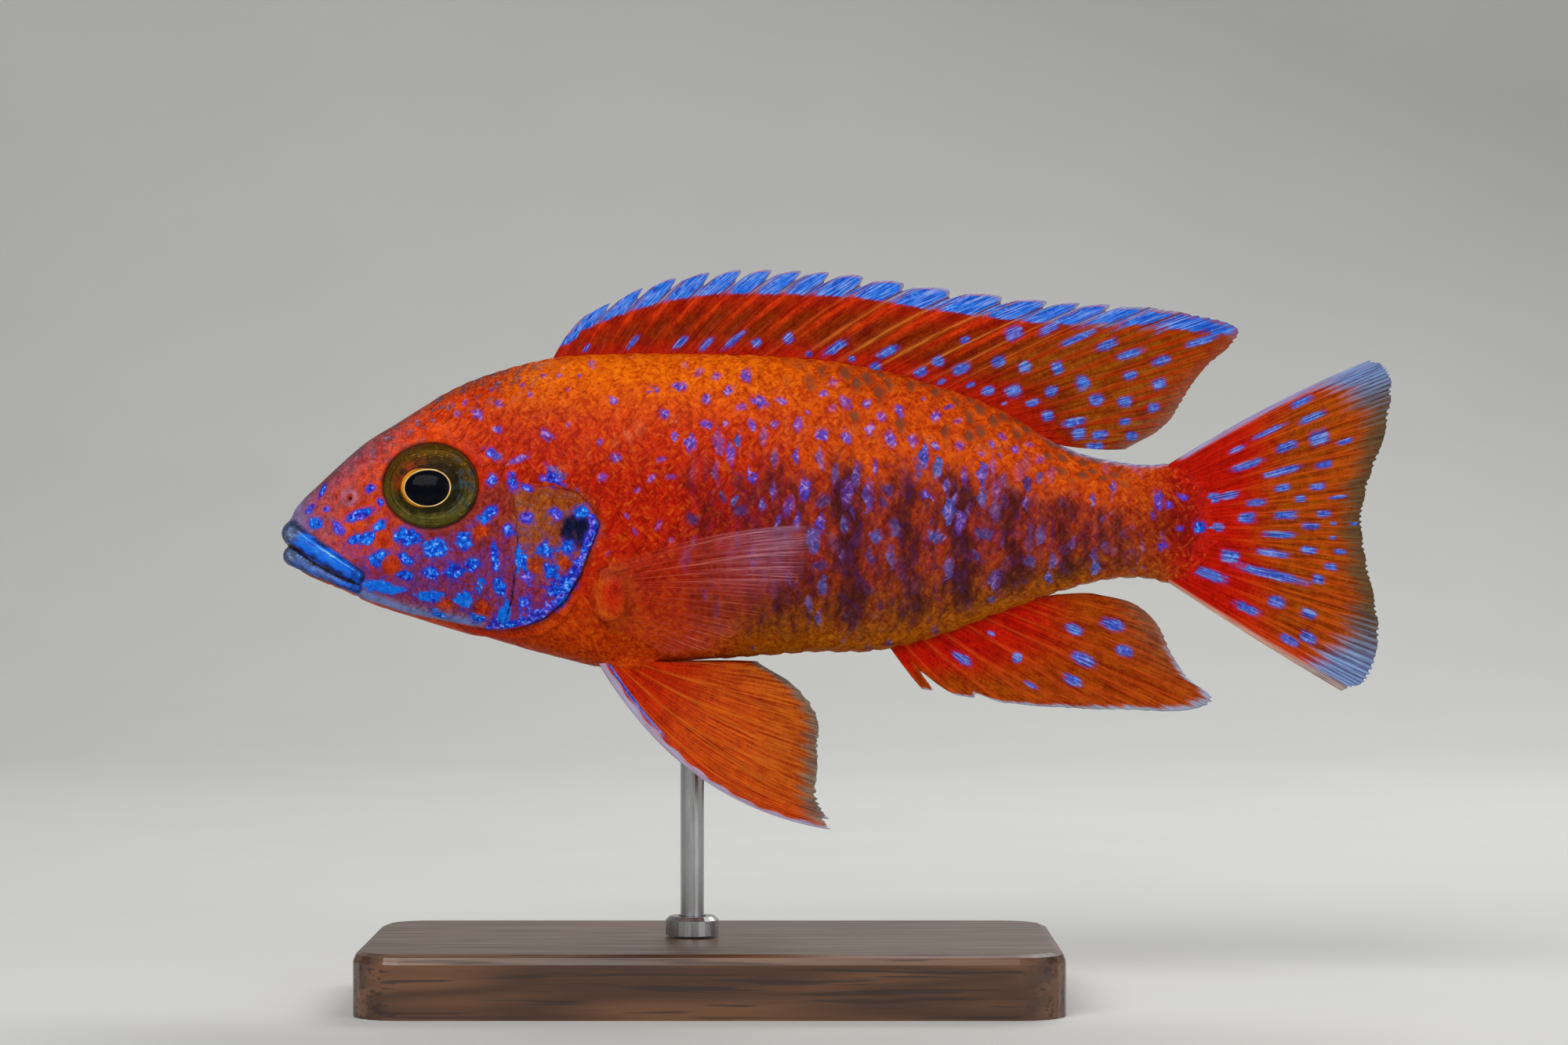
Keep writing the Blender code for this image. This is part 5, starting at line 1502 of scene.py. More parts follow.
def eye_meshes(side):
    """(the eyeball with its pupil and iris, the clear dome over it)."""
    centre, axes = eye_frame(side)
    ahead = axes[0, 0] / abs(axes[0, 0])
    mesh, share, angle = round_shell(112, 120)
    front = np.clip(share / EYE_FRONT, 0, 1)
    t = np.clip((front - PUPIL_SHARE) / (1 - PUPIL_SHARE), 0, 1)
    core = np.clip(front / PUPIL_SHARE, 0, 1)
    cos, sin = np.cos(angle), np.sin(angle)
    brim = 0.06 * np.cos(angle - 2.6) * (1 - t)
    half_a = PUPIL[2] * (1 + brim) + (EYE_HALVES[0] - PUPIL[2]) * t
    half_b = PUPIL[3] + (EYE_HALVES[1] - PUPIL[3]) * t
    shrink = np.where(t > 0, 1.0, core)
    a = PUPIL[0] * ahead * (1 - t) + half_a * cos * shrink
    b = PUPIL[1] * (1 - t) + half_b * sin * shrink
    reach = np.clip(1 - (a / EYE_HALVES[0]) ** 2 - (b / EYE_HALVES[1]) ** 2, 0, 1)
    dome = EYE_HALVES[2] * np.sqrt(reach)
    iris = 2.45 - 0.35 * t + 0.16 * hump(t, 0.035, 0.03) - 0.08 * hump(t, 0.35, 0.2)
    c = np.where(t > 0, np.minimum(iris, dome - 0.12), 2.40 + 0.72 * np.sqrt(np.clip(1 - core**2, 0, 1)))
    behind = share > EYE_FRONT
    turn = (share - EYE_FRONT) / (1 - EYE_FRONT) * math.pi / 2
    a = np.where(behind, EYE_HALVES[0] * cos * np.cos(turn), a)
    b = np.where(behind, EYE_HALVES[1] * sin * np.cos(turn), b)
    c = np.where(behind, -EYE_HALVES[2] * np.sin(turn), c)
    set_verts(mesh, placed(*(np.column_stack((a, b, c)) @ axes.T + centre).T))
    faced_out(mesh)
    ring = np.where(t > 0, np.clip(t / LIMB, 0, 1.2) / 1.2, 0.0)
    colour_layer(mesh, "iris", np.column_stack((ring, 0.5 - 0.5 * cos * ahead, 0.5 + 0.5 * sin)))
    uv_layer(mesh, "iris", np.column_stack((angle / math.pi, t)))
    cornea, share, angle = round_shell(96, 60)
    points = verts_of(cornea)
    points[:, 2] = np.where(points[:, 2] > 0, points[:, 2], points[:, 2] * 0.05)
    set_verts(cornea, placed(*((points * EYE_HALVES) @ axes.T + centre).T))
    return mesh, faced_out(cornea)


def iris_material():
    """Brown olive iris with a gold line round the black pupil."""
    if "iris" in bpy.data.materials:
        return bpy.data.materials["iris"]
    made, nodes, shader = new_material("iris")
    _, ring, forward, up, _ = nodes.layer("iris")
    fibre = nodes.streaks(nodes.flat("iris", (26.0, 3.0, 1.0)))
    cloud = nodes.noise(nodes.place(), 1.3, 4.0, 0.65)
    fleck = nodes.noise(nodes.place(), 0.45, 3.0, 0.7)
    tint = nodes.mix(paint(108, 104, 44), paint(98, 68, 14), nodes.span(up, 0.1, 0.75))
    shade = nodes.plus(ring, nodes.span(cloud, 0.3, 0.7, -0.16, 0.16, False))
    tint = nodes.mix(paint(18, 14, 9), tint, nodes.span(shade, 0.2, 0.85, 0.12, 1.0))
    # Painted sheen: a teal grey patch on the rear of the iris
    steel = nodes.times(nodes.span(forward, 0.35, 0.05), nodes.span(cloud, 0.45, 0.7))
    tint = nodes.mix(tint, paint(40, 66, 74), steel)
    # Painted reflection: red brown in the upper front of the iris near the pupil
    red_reflection = nodes.times(nodes.span(forward, 0.45, 0.85), nodes.span(up, 0.25, 0.65))
    red_reflection = nodes.times(nodes.times(red_reflection, nodes.span(ring, 0.75, 0.2)), nodes.span(cloud, 0.4, 0.62))
    tint = nodes.mix(tint, paint(140, 48, 10), red_reflection)
    gold = nodes.times(nodes.span(fleck, 0.56, 0.68), nodes.span(ring, 0.2, 0.7))
    tint = nodes.mix(tint, paint(176, 126, 44), nodes.times(gold, 0.8))
    glow = nodes.maths("DIVIDE", ring, nodes.span(forward, 0.45, 0.95, 0.055, 0.17))
    tint = nodes.mix(paint(232, 150, 20), tint, nodes.span(glow, 0.6, 1.25))
    tint = nodes.mix(paint(252, 218, 150), tint, nodes.span(ring, 0.034, 0.058))
    tint = nodes.stain(tint, (0.5, 0.42, 0.34), nodes.span(fibre, 0.55, 0.38))
    rim = nodes.times(nodes.span(ring, 0.78, 0.86), nodes.span(cloud, 0.35, 0.65, 0.2, 0.8))
    tint = nodes.mix(tint, paint(70, 54, 24), rim)
    pupil = nodes.span(ring, 0.002, 0.012)
    inputs = {
        "Base Color": nodes.mix((0.003, 0.003, 0.006), tint, pupil),
        "Roughness": nodes.span(pupil, 0.0, 1.0, 0.06, 0.38),
        "Metallic": nodes.times(pupil, 0.25),
        "Normal": nodes.bump(nodes.plus(fibre, cloud), 0.05, 0.6),
        "Specular IOR Level": 0.04,
    }
    nodes.fill(shader, inputs)
    return made


def cornea_material():
    """A clear wet dome: only its shine shows."""
    if "cornea" in bpy.data.materials:
        return bpy.data.materials["cornea"]
    made, nodes, shader = new_material("cornea")
    gleam = nodes.add("ShaderNodeFresnel", {"IOR": 1.12}).outputs[0]
    gleam = nodes.times(gleam, 0.07)
    nodes.fill(shader, {"Base Color": (1.0, 1.0, 1.0), "Metallic": 1.0, "Roughness": 0.03, "Alpha": gleam})
    return made


# Fins


def slab(columns, rows):
    """A closed sheet with (across, up, face) of each vertex: across and up from 0 to 1, face -1 or 1."""
    bm = bmesh.new()
    bmesh.ops.create_grid(bm, x_segments=columns, y_segments=rows, size=1.0)
    lifted = bmesh.ops.extrude_face_region(bm, geom=bm.faces[:], use_keep_orig=True)["geom"]
    for vert in (part for part in lifted if isinstance(part, bmesh.types.BMVert)):
        vert.co.z = 1.0
    mesh = as_mesh(bm, "slab")
    points = verts_of(mesh)
    return mesh, (points[:, 0] + 1) / 2, (points[:, 1] + 1) / 2, np.where(points[:, 2] > 0.5, 1.0, -1.0)


class FinShape:
    """Where a fin's skin lies: its rays, as (root x, root h, tip x, tip h, bow), on what line they stand,
    how many show and how many of them are spines; then how deep the skin is cut between spines, how far the
    fin is sunk in the body, how much its last corner is rounded, and whether each spine ends in a flag."""

    def __init__(self, rays, line, count, spines=0, dip=(0.0, 0.0), sunk=1.2, rounding=0.0, flags=True):
        self.rays, self.line, self.count, self.spines = rays, line, count, spines
        self.dip, self.sunk, self.rounding, self.flags = dip, sunk, rounding, flags

    def place(self, across):
        """Place across the fin, counted in the rays that show."""
        return across * (self.count - 1)

    def root_at(self, x, at):
        """Height of the root at x."""
        if self.line == "back":
            return profile_at(x)[0] + 0.4
        if self.line == "belly":
            return profile_at(x)[1] - 0.4
        if self.line == "breast":
            return underside_at(x, PELVIC_ROOT) - 0.8
        return curve_at(range(len(self.rays)), [ray[1] for ray in self.rays], at)

    def point(self, across, up):
        """(x, h, x of the root, h of the root, direction of the ray) in the side view."""
        at = across * (len(self.rays) - 1)
        spots = range(len(self.rays))
        root_x, tip_x, tip_h, bow = (curve_at(spots, [ray[k] for ray in self.rays], at) for k in (0, 2, 3, 4))
        root_h = self.root_at(root_x, at)
        run = np.hypot(tip_x - root_x, tip_h - root_h)
        dx, dh = (tip_x - root_x) / run, (tip_h - root_h) / run
        reach = run * up - self.sunk * (1 - up) ** 3
        swing = bow * 4 * up * (1 - up)
        return root_x + dx * reach - dh * swing, root_h + dh * reach + dx * swing, root_x, root_h, (dx, dh)

    def ray_field(self, across, up):
        """How strongly a ray shows, from 0 between rays to 1 on one. Soft rays branch twice on their way."""
        at = self.place(across)
        off = np.abs(at - np.round(at))
        branched = at > self.spines - 0.5
        first, second = 0.25 * branched * ease(0.22, 0.8, up), 0.125 * branched * ease(0.55, 0.98, up)
        nearest = np.abs(np.abs(off - first) - second)
        width = 0.10 - np.where(branched, 0.045, 0.05) * up
        return hump(nearest, 0.0, width)

    def margin(self, across, up):
        """How far up a ray's length the skin ends: lobes between spines, fine teeth at branched rays."""
        at = self.place(across)
        t = at - np.floor(at)
        depth = np.interp(np.floor(at), np.linspace(0, max(self.spines - 2, 1), len(self.dip)), self.dip)
        if self.flags:
            notch = 0.35 * (1 - ease(0.0, 0.4, t)) + ease(0.5, 1.0, t) ** 2
        else:
            notch = hump(t, 0.62, 0.17)
        lobes = np.where(at < self.spines - 1, depth * notch, 0.0)
        wobble = 0.55 + 0.45 * np.sin(at * 4.7 + 1.3 * np.sin(at * 1.9))
        teeth = 0.016 * wobble * (1 - self.ray_field(across, np.ones_like(up))) * (at > self.spines - 1)
        corner = self.rounding * ease(0.88, 1.0, across) ** 2
        return 1.0 - lobes - teeth - corner


def fin_mesh(shape, grid, spread, waves=0.2, ridge=0.17, flesh=0.35):
    """A fin as one thin closed skin, its grid given as faces from ray to ray and from root to tip.
    spread(x, h, root x, root h) gives (y, the normal to the left or right)."""
    mesh, across, up, face = slab(grid[0] * (shape.count - 1), grid[1])
    ray = shape.ray_field(across, up)
    x, h, root_x, root_h, way = shape.point(across, up * shape.margin(across, up))
    y, normal = spread(x, h, root_x, root_h)
    at = shape.place(across)
    ripple = waves * up * (np.sin(at * 1.3 + 2 * up) + 0.6 * np.sin(at * 2 * math.pi) * up)
    half = 0.10 + ridge * ray * (1 - 0.55 * up) + flesh * np.clip(1 - up * 2.6, 0, 1) ** 2
    edge = np.minimum(np.minimum(across, 1 - across) * (shape.count - 1) / 0.5, (1 - up) / 0.02)
    half *= 0.35 + 0.65 * np.sqrt(np.clip(edge, 0, 1))
    spots = placed(x, y, h) + normal * ((ripple + face * half) * MM)[:, None]
    set_verts(mesh, spots)
    faced_out(mesh)
    uv_layer(mesh, "fin", np.column_stack((at, up)))
    return mesh, across, up, ray, x, h, way


def between(first, second, share):
    """Colours on the way from one to another."""
    return np.asarray(first) + (np.asarray(second) - np.asarray(first)) * np.asarray(share)[..., None]


def upright(x, *_):
    """A fin's spread in the middle plane."""
    return np.zeros_like(x), np.tile((0.0, 1.0, 0.0), (len(x), 1))


def finish_fin(name, mesh, ground, line, masks, replaced):
    """Shows a fin with its colours, those of its rays, and (blue field, hue, how much rays show, alpha)."""
    for layer, values in (("ground", ground), ("line", line), ("marks", np.column_stack(masks))):
        colour_layer(mesh, layer, values)
    show(name, mesh, fin_material(), [replaced])


def dorsal_fin():
    """The long fin of the back, with its blue band in lobes between the spines."""
    fins = settings().fins
    shape = FinShape(DORSAL_RAYS, "back", 26, 16, (0.3, 0.2, 0.15, 0.12, 0.09))
    mesh, across, up, ray, x, h, way = fin_mesh(shape, (14, 72), upright, 0.18)
    at = shape.place(across)
    soft = ease(13, 17, at)
    tints = between(fins.rust, fins.red, ease(0.26, 0.02, up) * 0.7)
    tints = between(tints, fins.amber, soft * ease(0.12, 0.4, up))
    tints = between(tints, fins.olive, ease(19, 25, at) * ease(0.45, 0.95, up) * 0.75)
    above = h - read_line(BAND_EDGE, x)
    tints = between(tints, fins.red, np.clip(hump(above, -0.8, 1.3) * (1 - soft), 0, 1) * 0.45)
    f = at - np.floor(at)
    behind_spine = hump(f, 0.27, 0.14) * (1 - soft) * ease(0.05, 0.5, up)
    tints = between(tints, paint(236, 66, 14), behind_spine * 0.8)
    strength = np.clip(0.5 + above / np.where(soft > 0.5, 2.6, 1.0), 0, 1)
    waves = (np.sin(at * 2 * math.pi + h * 1.7) + 1) * ease(0.9, 0.2, above)
    strength -= soft * (0.34 * ray + 0.16 * waves)
    strength *= ease(24.5, 22.5, at)
    strength = np.maximum(strength, ease(0.7, 0.35, at) * ease(0.1, 0.35, up) * 0.9)
    marks, hue = patch_field(x, h, in_mm(DORSAL_MARKS), way, 2.6)
    band_hue = 0.88 + 0.12 * ease(0.1, 0.6, f)
    hue = np.where(strength > marks, band_hue, hue)
    field = np.maximum(marks, np.clip(strength, 0, 1))
    leading = np.maximum(hump(f, 0.0, 0.085), hump(f, 0.16, 0.05) * 0.7) * (at < 17.5)
    outline = np.maximum(ease(0.94, 0.985, up) * 0.85, leading) * ease(-0.4, 0.4, above)
    outline *= np.where(at > 17, 0.55, 1.0)
    slit = hump(f, 0.93, 0.05) * (at < 17) * ease(-0.3, 0.5, above)
    field *= (1 - outline * 0.9) * (1 - slit)
    ray_tint = between(between(fins.red, fins.ray, ease(8, 11, at) * (at < 15.5) * 0.9), fins.red, soft)
    ray_tint = between(ray_tint, fins.lilac, np.maximum(outline, ease(-0.3, 0.4, above) * (at < 16)))
    ray_tint = between(ray_tint, settings().flesh.night, slit)
    alpha = 1.0 - 0.2 * ease(0.85, 1.0, up) * ease(16, 20, at) - 0.2 * ease(20, 25, at) * ease(0.5, 1.0, up)
    thin = np.where(at < 15.5, ray**2 * np.where(at < 8, 0.35, 0.75), ray * 0.6)
    line_share = np.maximum(thin * (0.25 + 0.75 * ease(0.0, 0.3, up)), outline * 0.95)
    line_share = np.maximum(line_share, slit * 0.9)
    finish_fin("dorsal", mesh, tints, ray_tint, (field, hue, line_share, alpha), "dorsal_fin")


def anal_fin():
    """The fin behind the vent."""
    fins = settings().fins
    shape = FinShape(ANAL_RAYS, "belly", 12, 3, (0.5, 0.14), flags=False)
    mesh, across, up, ray, x, h, way = fin_mesh(shape, (18, 60), upright, 0.15)
    at = shape.place(across)
    tints = between(fins.red, fins.amber, ease(0.35, 0.8, up + 0.05 * at) * 0.75)
    tints = between(tints, fins.olive, ease(5, 9, at) * ease(0.55, 0.95, up) * 0.8)
    margin = ease(0.93, 0.98, up + 0.02 * np.sin(across * 173) * np.sin(across * 61)) * ease(9.5, 7, at)
    tints = between(tints, paint(142, 146, 160), margin * 0.85)
    field, hue = patch_field(x, h, in_mm(ANAL_MARKS), way)
    alpha = 1.0 - 0.25 * ease(7, 11, at) * ease(0.7, 1.0, up)
    line = between(between(fins.red, fins.ray, np.full(len(x), 0.3)), paint(164, 178, 206), margin)
    shown = np.maximum(ray * 0.5, margin * 0.9)
    finish_fin("anal", mesh, tints, line, (field * (1 - margin), hue, shown, alpha), "anal_fin")


def tail_fin():
    """The tail fin, red at its root and clear grey at its margin."""
    fins = settings().fins
    shape = FinShape(CAUDAL_RAYS, "own", 18, 0, sunk=1.6)
    mesh, across, up, ray, x, h, way = fin_mesh(shape, (18, 84), upright, 0.22, flesh=0.8)
    lobes = np.abs(across - 0.5) * 2
    wavy = 0.03 * np.sin(across * 90) * np.sin(across * 37)
    grey_from = 0.93 - 0.16 * ease(0.4, 1.0, lobes) + wavy - 0.05 * ray
    grey = ease(grey_from - 0.07, grey_from + 0.07, up)
    tints = between(fins.red, fins.amber, ease(0.32, 0.6, up) * ease(1.0, 0.75, lobes) * 0.85)
    pale = between(paint(92, 74, 44), paint(82, 122, 188), ease(0.55, 0.85, lobes))
    tints = between(tints, pale, grey * 0.9)
    field, hue = patch_field(x, h, in_mm(CAUDAL_MARKS), way, 3.0)
    # Ray lines at the margin: olive in the middle, and a pale blue painted sheen on the rays of the lobes,
    # shown stronger there
    tip_rays_and_sheen = between(paint(116, 100, 68), paint(156, 190, 238), ease(0.4, 0.8, lobes))
    line = between(between(fins.red, paint(232, 96, 20), ease(0.2, 0.5, up) * 0.8), tip_rays_and_sheen, grey)
    # upper is a painted highlight along the fin's top edge, in lilac; lower is the beige lower edge
    upper, lower = hump(across, 0.0, 0.042) * ease(0.02, 0.1, up), hump(across, 1.0, 0.034)
    line = between(between(line, fins.lilac, ease(0.2, 0.6, upper)), fins.beige, ease(0.2, 0.6, lower))
    shown = np.maximum(ray * (0.55 + 0.35 * grey * ease(0.4, 0.8, lobes)), np.maximum(upper, lower) * 0.95)
    finish_fin("tail_fin", mesh, tints, line, (field, hue, shown, 1.0 - 0.08 * grey), "caudal_fin")


def pelvic_fins():
    """The fins under the breast, with a pale front edge."""
    fins = settings().fins
    for side, word in SIDES:
        normal = np.array((0.0, 1.0, side * PELVIC_SPLAY)) / math.hypot(1.0, PELVIC_SPLAY)

        def spread(x, h, root_x, root_h):
            return side * (PELVIC_ROOT + PELVIC_SPLAY * (root_h - h)), np.tile(normal, (len(x), 1))

        shape = FinShape(PELVIC_RAYS, "breast", 6, 0, sunk=1.4, rounding=0.14)
        mesh, across, up, ray, x, h, _ = fin_mesh(shape, (34, 80), spread, 0.12, 0.2, 0.5)
        steps = np.linspace(0, 1, 16)
        spots = shape.point(np.zeros(16), steps)
        rim, _, _ = line_distance(x, h, list(zip(spots[0], spots[1])))
        tints = between(fins.orange, fins.red, np.maximum(ease(0.5, 0.1, up), ease(0.35, 0.1, across)) * 0.6)
        tints = between(tints, fins.amber, ease(0.55, 0.9, up) * ease(0.1, 0.6, across) * 0.45)
        lead = ease(0.85, 0.6, rim + 0.35 * ease(0.3, 0.8, up) + 0.12 * np.sin(up * 60))
        stripe = hump(rim, 1.0, 0.28) * ease(0.45, 0.2, up)
        edge = ease(0.9, 0.99, up + 0.02 * np.sin(across * 97)) * ease(0.08, 0.2, across)
        tints = between(tints, paint(118, 106, 80), edge * 0.8)
        alpha = 1.0 - 0.35 * ease(0.88, 1.0, up)
        fine = 0.5 + 0.5 * np.sin(shape.place(across) * 8 * 2 * math.pi)
        line = np.maximum(ray * 0.7, 0.7 * fine * ease(0.15, 0.6, up)) * 0.5
        masks = (0.75 * stripe * (1 - lead), np.full(len(x), 0.3), np.maximum(line, lead * 0.95), alpha)
        ray_tint = between(between(fins.ray, paint(170, 164, 150), edge), paint(168, 174, 204), lead)
        finish_fin(f"pelvic_{word}", mesh, tints, ray_tint, masks, f"pelvic_fin_{word}")


def pectoral_fins():
    """The clear fins of the breast, with fine pale rays."""
    for side, word in SIDES:
        normal = np.array((-PECTORAL_SPLAY * side, 1.0, 0.0)) / math.hypot(1.0, PECTORAL_SPLAY)

        def spread(x, h, root_x, root_h):
            root = flank_at(root_x, root_h) + PECTORAL_OFF
            return side * (root + PECTORAL_SPLAY * (x - root_x)), np.tile(normal, (len(x), 1))

        shape = FinShape(PECTORAL_RAYS, "own", 18, 0, sunk=1.8)
        mesh, across, up, ray, x, *_ = fin_mesh(shape, (14, 60), spread, 0.12, 0.12, 0.3)
        upper = ease(0.6, 0.1, across)
        tints = between(paint(196, 62, 40), paint(156, 92, 134), ease(0.45, 0.9, up) * upper)
        line = between(paint(226, 104, 72), paint(224, 170, 186), ease(0.3, 0.8, up) * (0.3 + 0.7 * upper))
        broken = 0.7 + 0.3 * np.sin(across * 61 + 3 * np.sin(across * 23) + up * 5)
        hair = (0.5 + 0.5 * np.cos(shape.place(across) * 3 * 2 * math.pi)) ** 2 * 0.55
        low = hump(across, 0.86, 0.14) * ease(0.5, 0.9, up)
        ray = np.maximum(ray**2, hair * ease(0.0, 0.15, up)) * (0.45 + 0.55 * np.maximum(upper, low)) * broken
        fade = 1 - ease(0.78 + 0.06 * np.sin(across * 47), 1.0, up)
        alpha = 0.05 + 0.28 * upper * ease(0.3, 0.75, up) + 0.9 * ray * (1 - 0.2 * up)
        alpha *= fade * ease(0.0, 0.05, up)
        masks = (np.zeros(len(x)), np.full(len(x), 0.2), ray * 0.85, np.clip(alpha, 0, 1))
        finish_fin(f"pectoral_{word}", mesh, tints, line, masks, f"pectoral_fin_{word}")


def fin_material():
    """Thin fin skin: streaks along the rays, clearer towards the margins."""
    if "fin skin" in bpy.data.materials:
        return bpy.data.materials["fin skin"]
    made, nodes, shader = new_material("fin skin")
    ground, *_ = nodes.layer("ground")
    line, *_ = nodes.layer("line")
    _, field, hue, ray, alpha = nodes.layer("marks")
    pigment = nodes.group(mottle_group(), {"Color": ground, "Cloud": 0.55, "Grain": 0.5})
    wide = nodes.streaks(nodes.flat("fin", (4.0, 2.2, 1.0)))
    streak = nodes.streaks(nodes.flat("fin", (16.0, 5.0, 1.0)), 2.0)
    tint = nodes.stain(pigment["Color"], (0.75, 0.5, 0.4), nodes.span(wide, 0.52, 0.36))
    tint = nodes.stain(tint, (0.7, 0.4, 0.35), nodes.span(streak, 0.50, 0.38))
    tint = nodes.mix(tint, line, nodes.times(ray, nodes.span(streak, 0.36, 0.56, 0.35, 1.0)))
    inputs = {
        "Ground": tint, "Field": nodes.plus(field, nodes.span(streak, 0.3, 0.7, -0.10, 0.10, False)),
        "Hue": hue, "Raggedness": 0.45, "Softness": 0.12, "Grain": 0.35,
        "Milk": nodes.span(hue, 0.8, 0.87, 0.45, 0.16), "Fringe": 0.3,
    }
    blue = nodes.group(blue_marks_group(), inputs)
    gap = nodes.times(nodes.span(streak, 0.5, 0.38), nodes.times(blue["Mask"], 0.8))
    tint = nodes.stain(blue["Color"], (0.35, 0.4, 0.55), gap)
    # Painted glints: pale lilac streaks in the blue marks
    pale = nodes.times(nodes.span(streak, 0.5, 0.64), nodes.times(blue["Mask"], 0.7))
    clear = nodes.times(alpha, nodes.span(streak, 0.3, 0.6, 0.9, 1.0))
    clear = nodes.maths("MAXIMUM", clear, nodes.times(blue["Mask"], 0.95))
    inputs = {
        "Base Color": nodes.mix(tint, settings().fins.lilac, pale),
        "Alpha": nodes.plus(clear, nodes.span(alpha, 0.97, 0.995), True),
        "Roughness": nodes.span(streak, 0.3, 0.7, 0.48, 0.34, False),
        "Specular IOR Level": 0.03, "Coat Weight": 0.0, "Coat Roughness": 0.25,
        "Normal": nodes.bump(nodes.plus(streak, blue["Height"]), 0.04, 0.6),
    }
    nodes.fill(shader, inputs)
    return made


# Stand and stage


def walnut_material():
    """Oiled walnut with grain along the base."""
    made, nodes, shader = new_material("walnut")
    warp = nodes.streaks(nodes.place((6.0, 40.0, 60.0)), output="Color")
    ring = nodes.vector("ADD", nodes.place((3.0, 110.0, 150.0)), (0.0, 0.3, 0.6))
    spot = nodes.vector("ADD", ring, nodes.vector("SCALE", warp, 2.6))
    inputs = {"Vector": spot, "Scale": 1.1, "Distortion": 2.0, "Detail": 3.0, "Detail Scale": 1.5}
    grain = nodes.add("ShaderNodeTexWave", inputs, wave_type="BANDS", bands_direction="Y").outputs["Fac"]
    pore = nodes.streaks(nodes.place((60.0, 1900.0, 1900.0)), 2.0, 0.5)
    tint = nodes.ramp(grain, ((0.0, paint(74, 46, 29)), (0.55, paint(96, 61, 38)), (1.0, paint(112, 74, 46))))
    dark = nodes.times(nodes.span(pore, 0.46, 0.34), 0.75)
    inputs = {
        "Base Color": nodes.mix(tint, paint(38, 22, 14), dark),
        "Roughness": nodes.span(pore, 0.3, 0.6, 0.55, 0.36),
        "Coat Weight": 0.2, "Coat Roughness": 0.3,
        "Normal": nodes.bump(pore, 0.05, 0.5),
    }
    nodes.fill(shader, inputs)
    return made


def steel_material():
    """Brushed stainless steel, drawn along the rod."""
    made, nodes, shader = new_material("steel")
    brush = nodes.streaks(nodes.place((9000.0, 9000.0, 260.0)), 2.0, 0.5)
    cloud = nodes.noise(nodes.place(), 9.0, 2.0)
    shade = nodes.plus(nodes.times(brush, 0.6), nodes.times(cloud, 0.4))
    inputs = {
        "Base Color": nodes.ramp(shade, ((0.3, paint(150, 150, 152)), (0.7, paint(196, 197, 198)))),
        "Metallic": 1.0,
        "Roughness": nodes.span(shade, 0.3, 0.7, 0.22, 0.38),
        "Normal": nodes.bump(brush, 0.01, 0.4),
    }
    nodes.fill(shader, inputs)
    return made


def plaster_material(tint):
    """Matt pale backdrop."""
    made, nodes, shader = new_material("backdrop")
    speck = nodes.noise(nodes.place(), 60.0, 3.0, 0.5)
    shade = nodes.ramp(speck, ((0.3, [part * 0.97 for part in tint]), (0.7, tint)))
    nodes.fill(shader, {"Base Color": shade, "Roughness": 0.85})
    return made


def backdrop():
    """Floor and wall in one bent sheet."""
    bm = bmesh.new()
    bmesh.ops.create_grid(bm, x_segments=8, y_segments=60, size=1.0)
    mesh = as_mesh(bm, "backdrop")
    points = verts_of(mesh)
    run = (points[:, 1] + 1) * 1.6
    bend, radius = 1.6, 0.5
    turn = np.clip((run - bend) / radius, 0, math.pi / 2)
    past = np.maximum(run - bend - radius * math.pi / 2, 0)
    y = np.minimum(run, bend) + radius * np.sin(turn) - 1.05
    z = radius * (1 - np.cos(turn)) + past
    set_verts(mesh, np.column_stack((points[:, 0] * 2.4, y, z)))
    mesh.shade_smooth()
    mesh.materials.append(plaster_material(settings().stage.floor))
    made = bpy.data.objects.new("backdrop", mesh)
    bpy.context.scene.collection.objects.link(made)


def area_light(name, power, size, spot, target, tint=(1.0, 1.0, 1.0)):
    """A soft light that looks at a target."""
    lamp = bpy.data.lights.new(name, "AREA")
    lamp.energy, lamp.shape, lamp.color = power, "RECTANGLE", tint
    lamp.size, lamp.size_y = size
    made = bpy.data.objects.new(name, lamp)
    made.location = spot
    made.rotation_euler = (Vector(target) - Vector(spot)).to_track_quat("-Z", "Y").to_euler()
    bpy.context.scene.collection.objects.link(made)


CAMERA_AT = (-0.0068, -0.5556, 0.06085)
LENS, SENSOR = 100.0, 36.0


def camera():
    """Square on to the left side, level with the fish."""
    lens = bpy.data.cameras.new("camera")
    lens.lens, lens.sensor_width, lens.clip_start = LENS, SENSOR, 0.01
    made = bpy.data.objects.new("camera", lens)
    made.location, made.rotation_euler = CAMERA_AT, (math.pi / 2, 0.0, 0.0)
    bpy.context.scene.collection.objects.link(made)
    bpy.context.scene.camera = made


# Operators


class FISH_OT_stage(bpy.types.Operator):
    """Backdrop, lights and camera"""

    bl_idname = "fish.stage"
    bl_label = "Stage"

    def execute(self, context):
        stage = settings().stage
        backdrop()
        area_light("key", stage.key, (0.7, 0.5), (-0.35, -0.75, 0.65), (0, 0, 0.06), (1.0, 0.985, 0.96))
        area_light("fill", stage.fill, (0.9, 0.9), (0.75, -0.7, 0.25), (0, 0, 0.06), (0.94, 0.97, 1.0))
        area_light("rim", stage.rim, (0.6, 0.4), (0.3, 0.45, 0.6), (0, 0, 0.07))
        world = bpy.data.worlds.new("studio")
        world.use_nodes = True
        ground = world.node_tree.nodes["Background"]
        ground.inputs["Color"].default_value = (0.86, 0.89, 0.93, 1.0)
        ground.inputs["Strength"].default_value = 0.2
        context.scene.world = world
        context.scene.view_settings.view_transform = "Standard"
        camera()
        return {"FINISHED"}


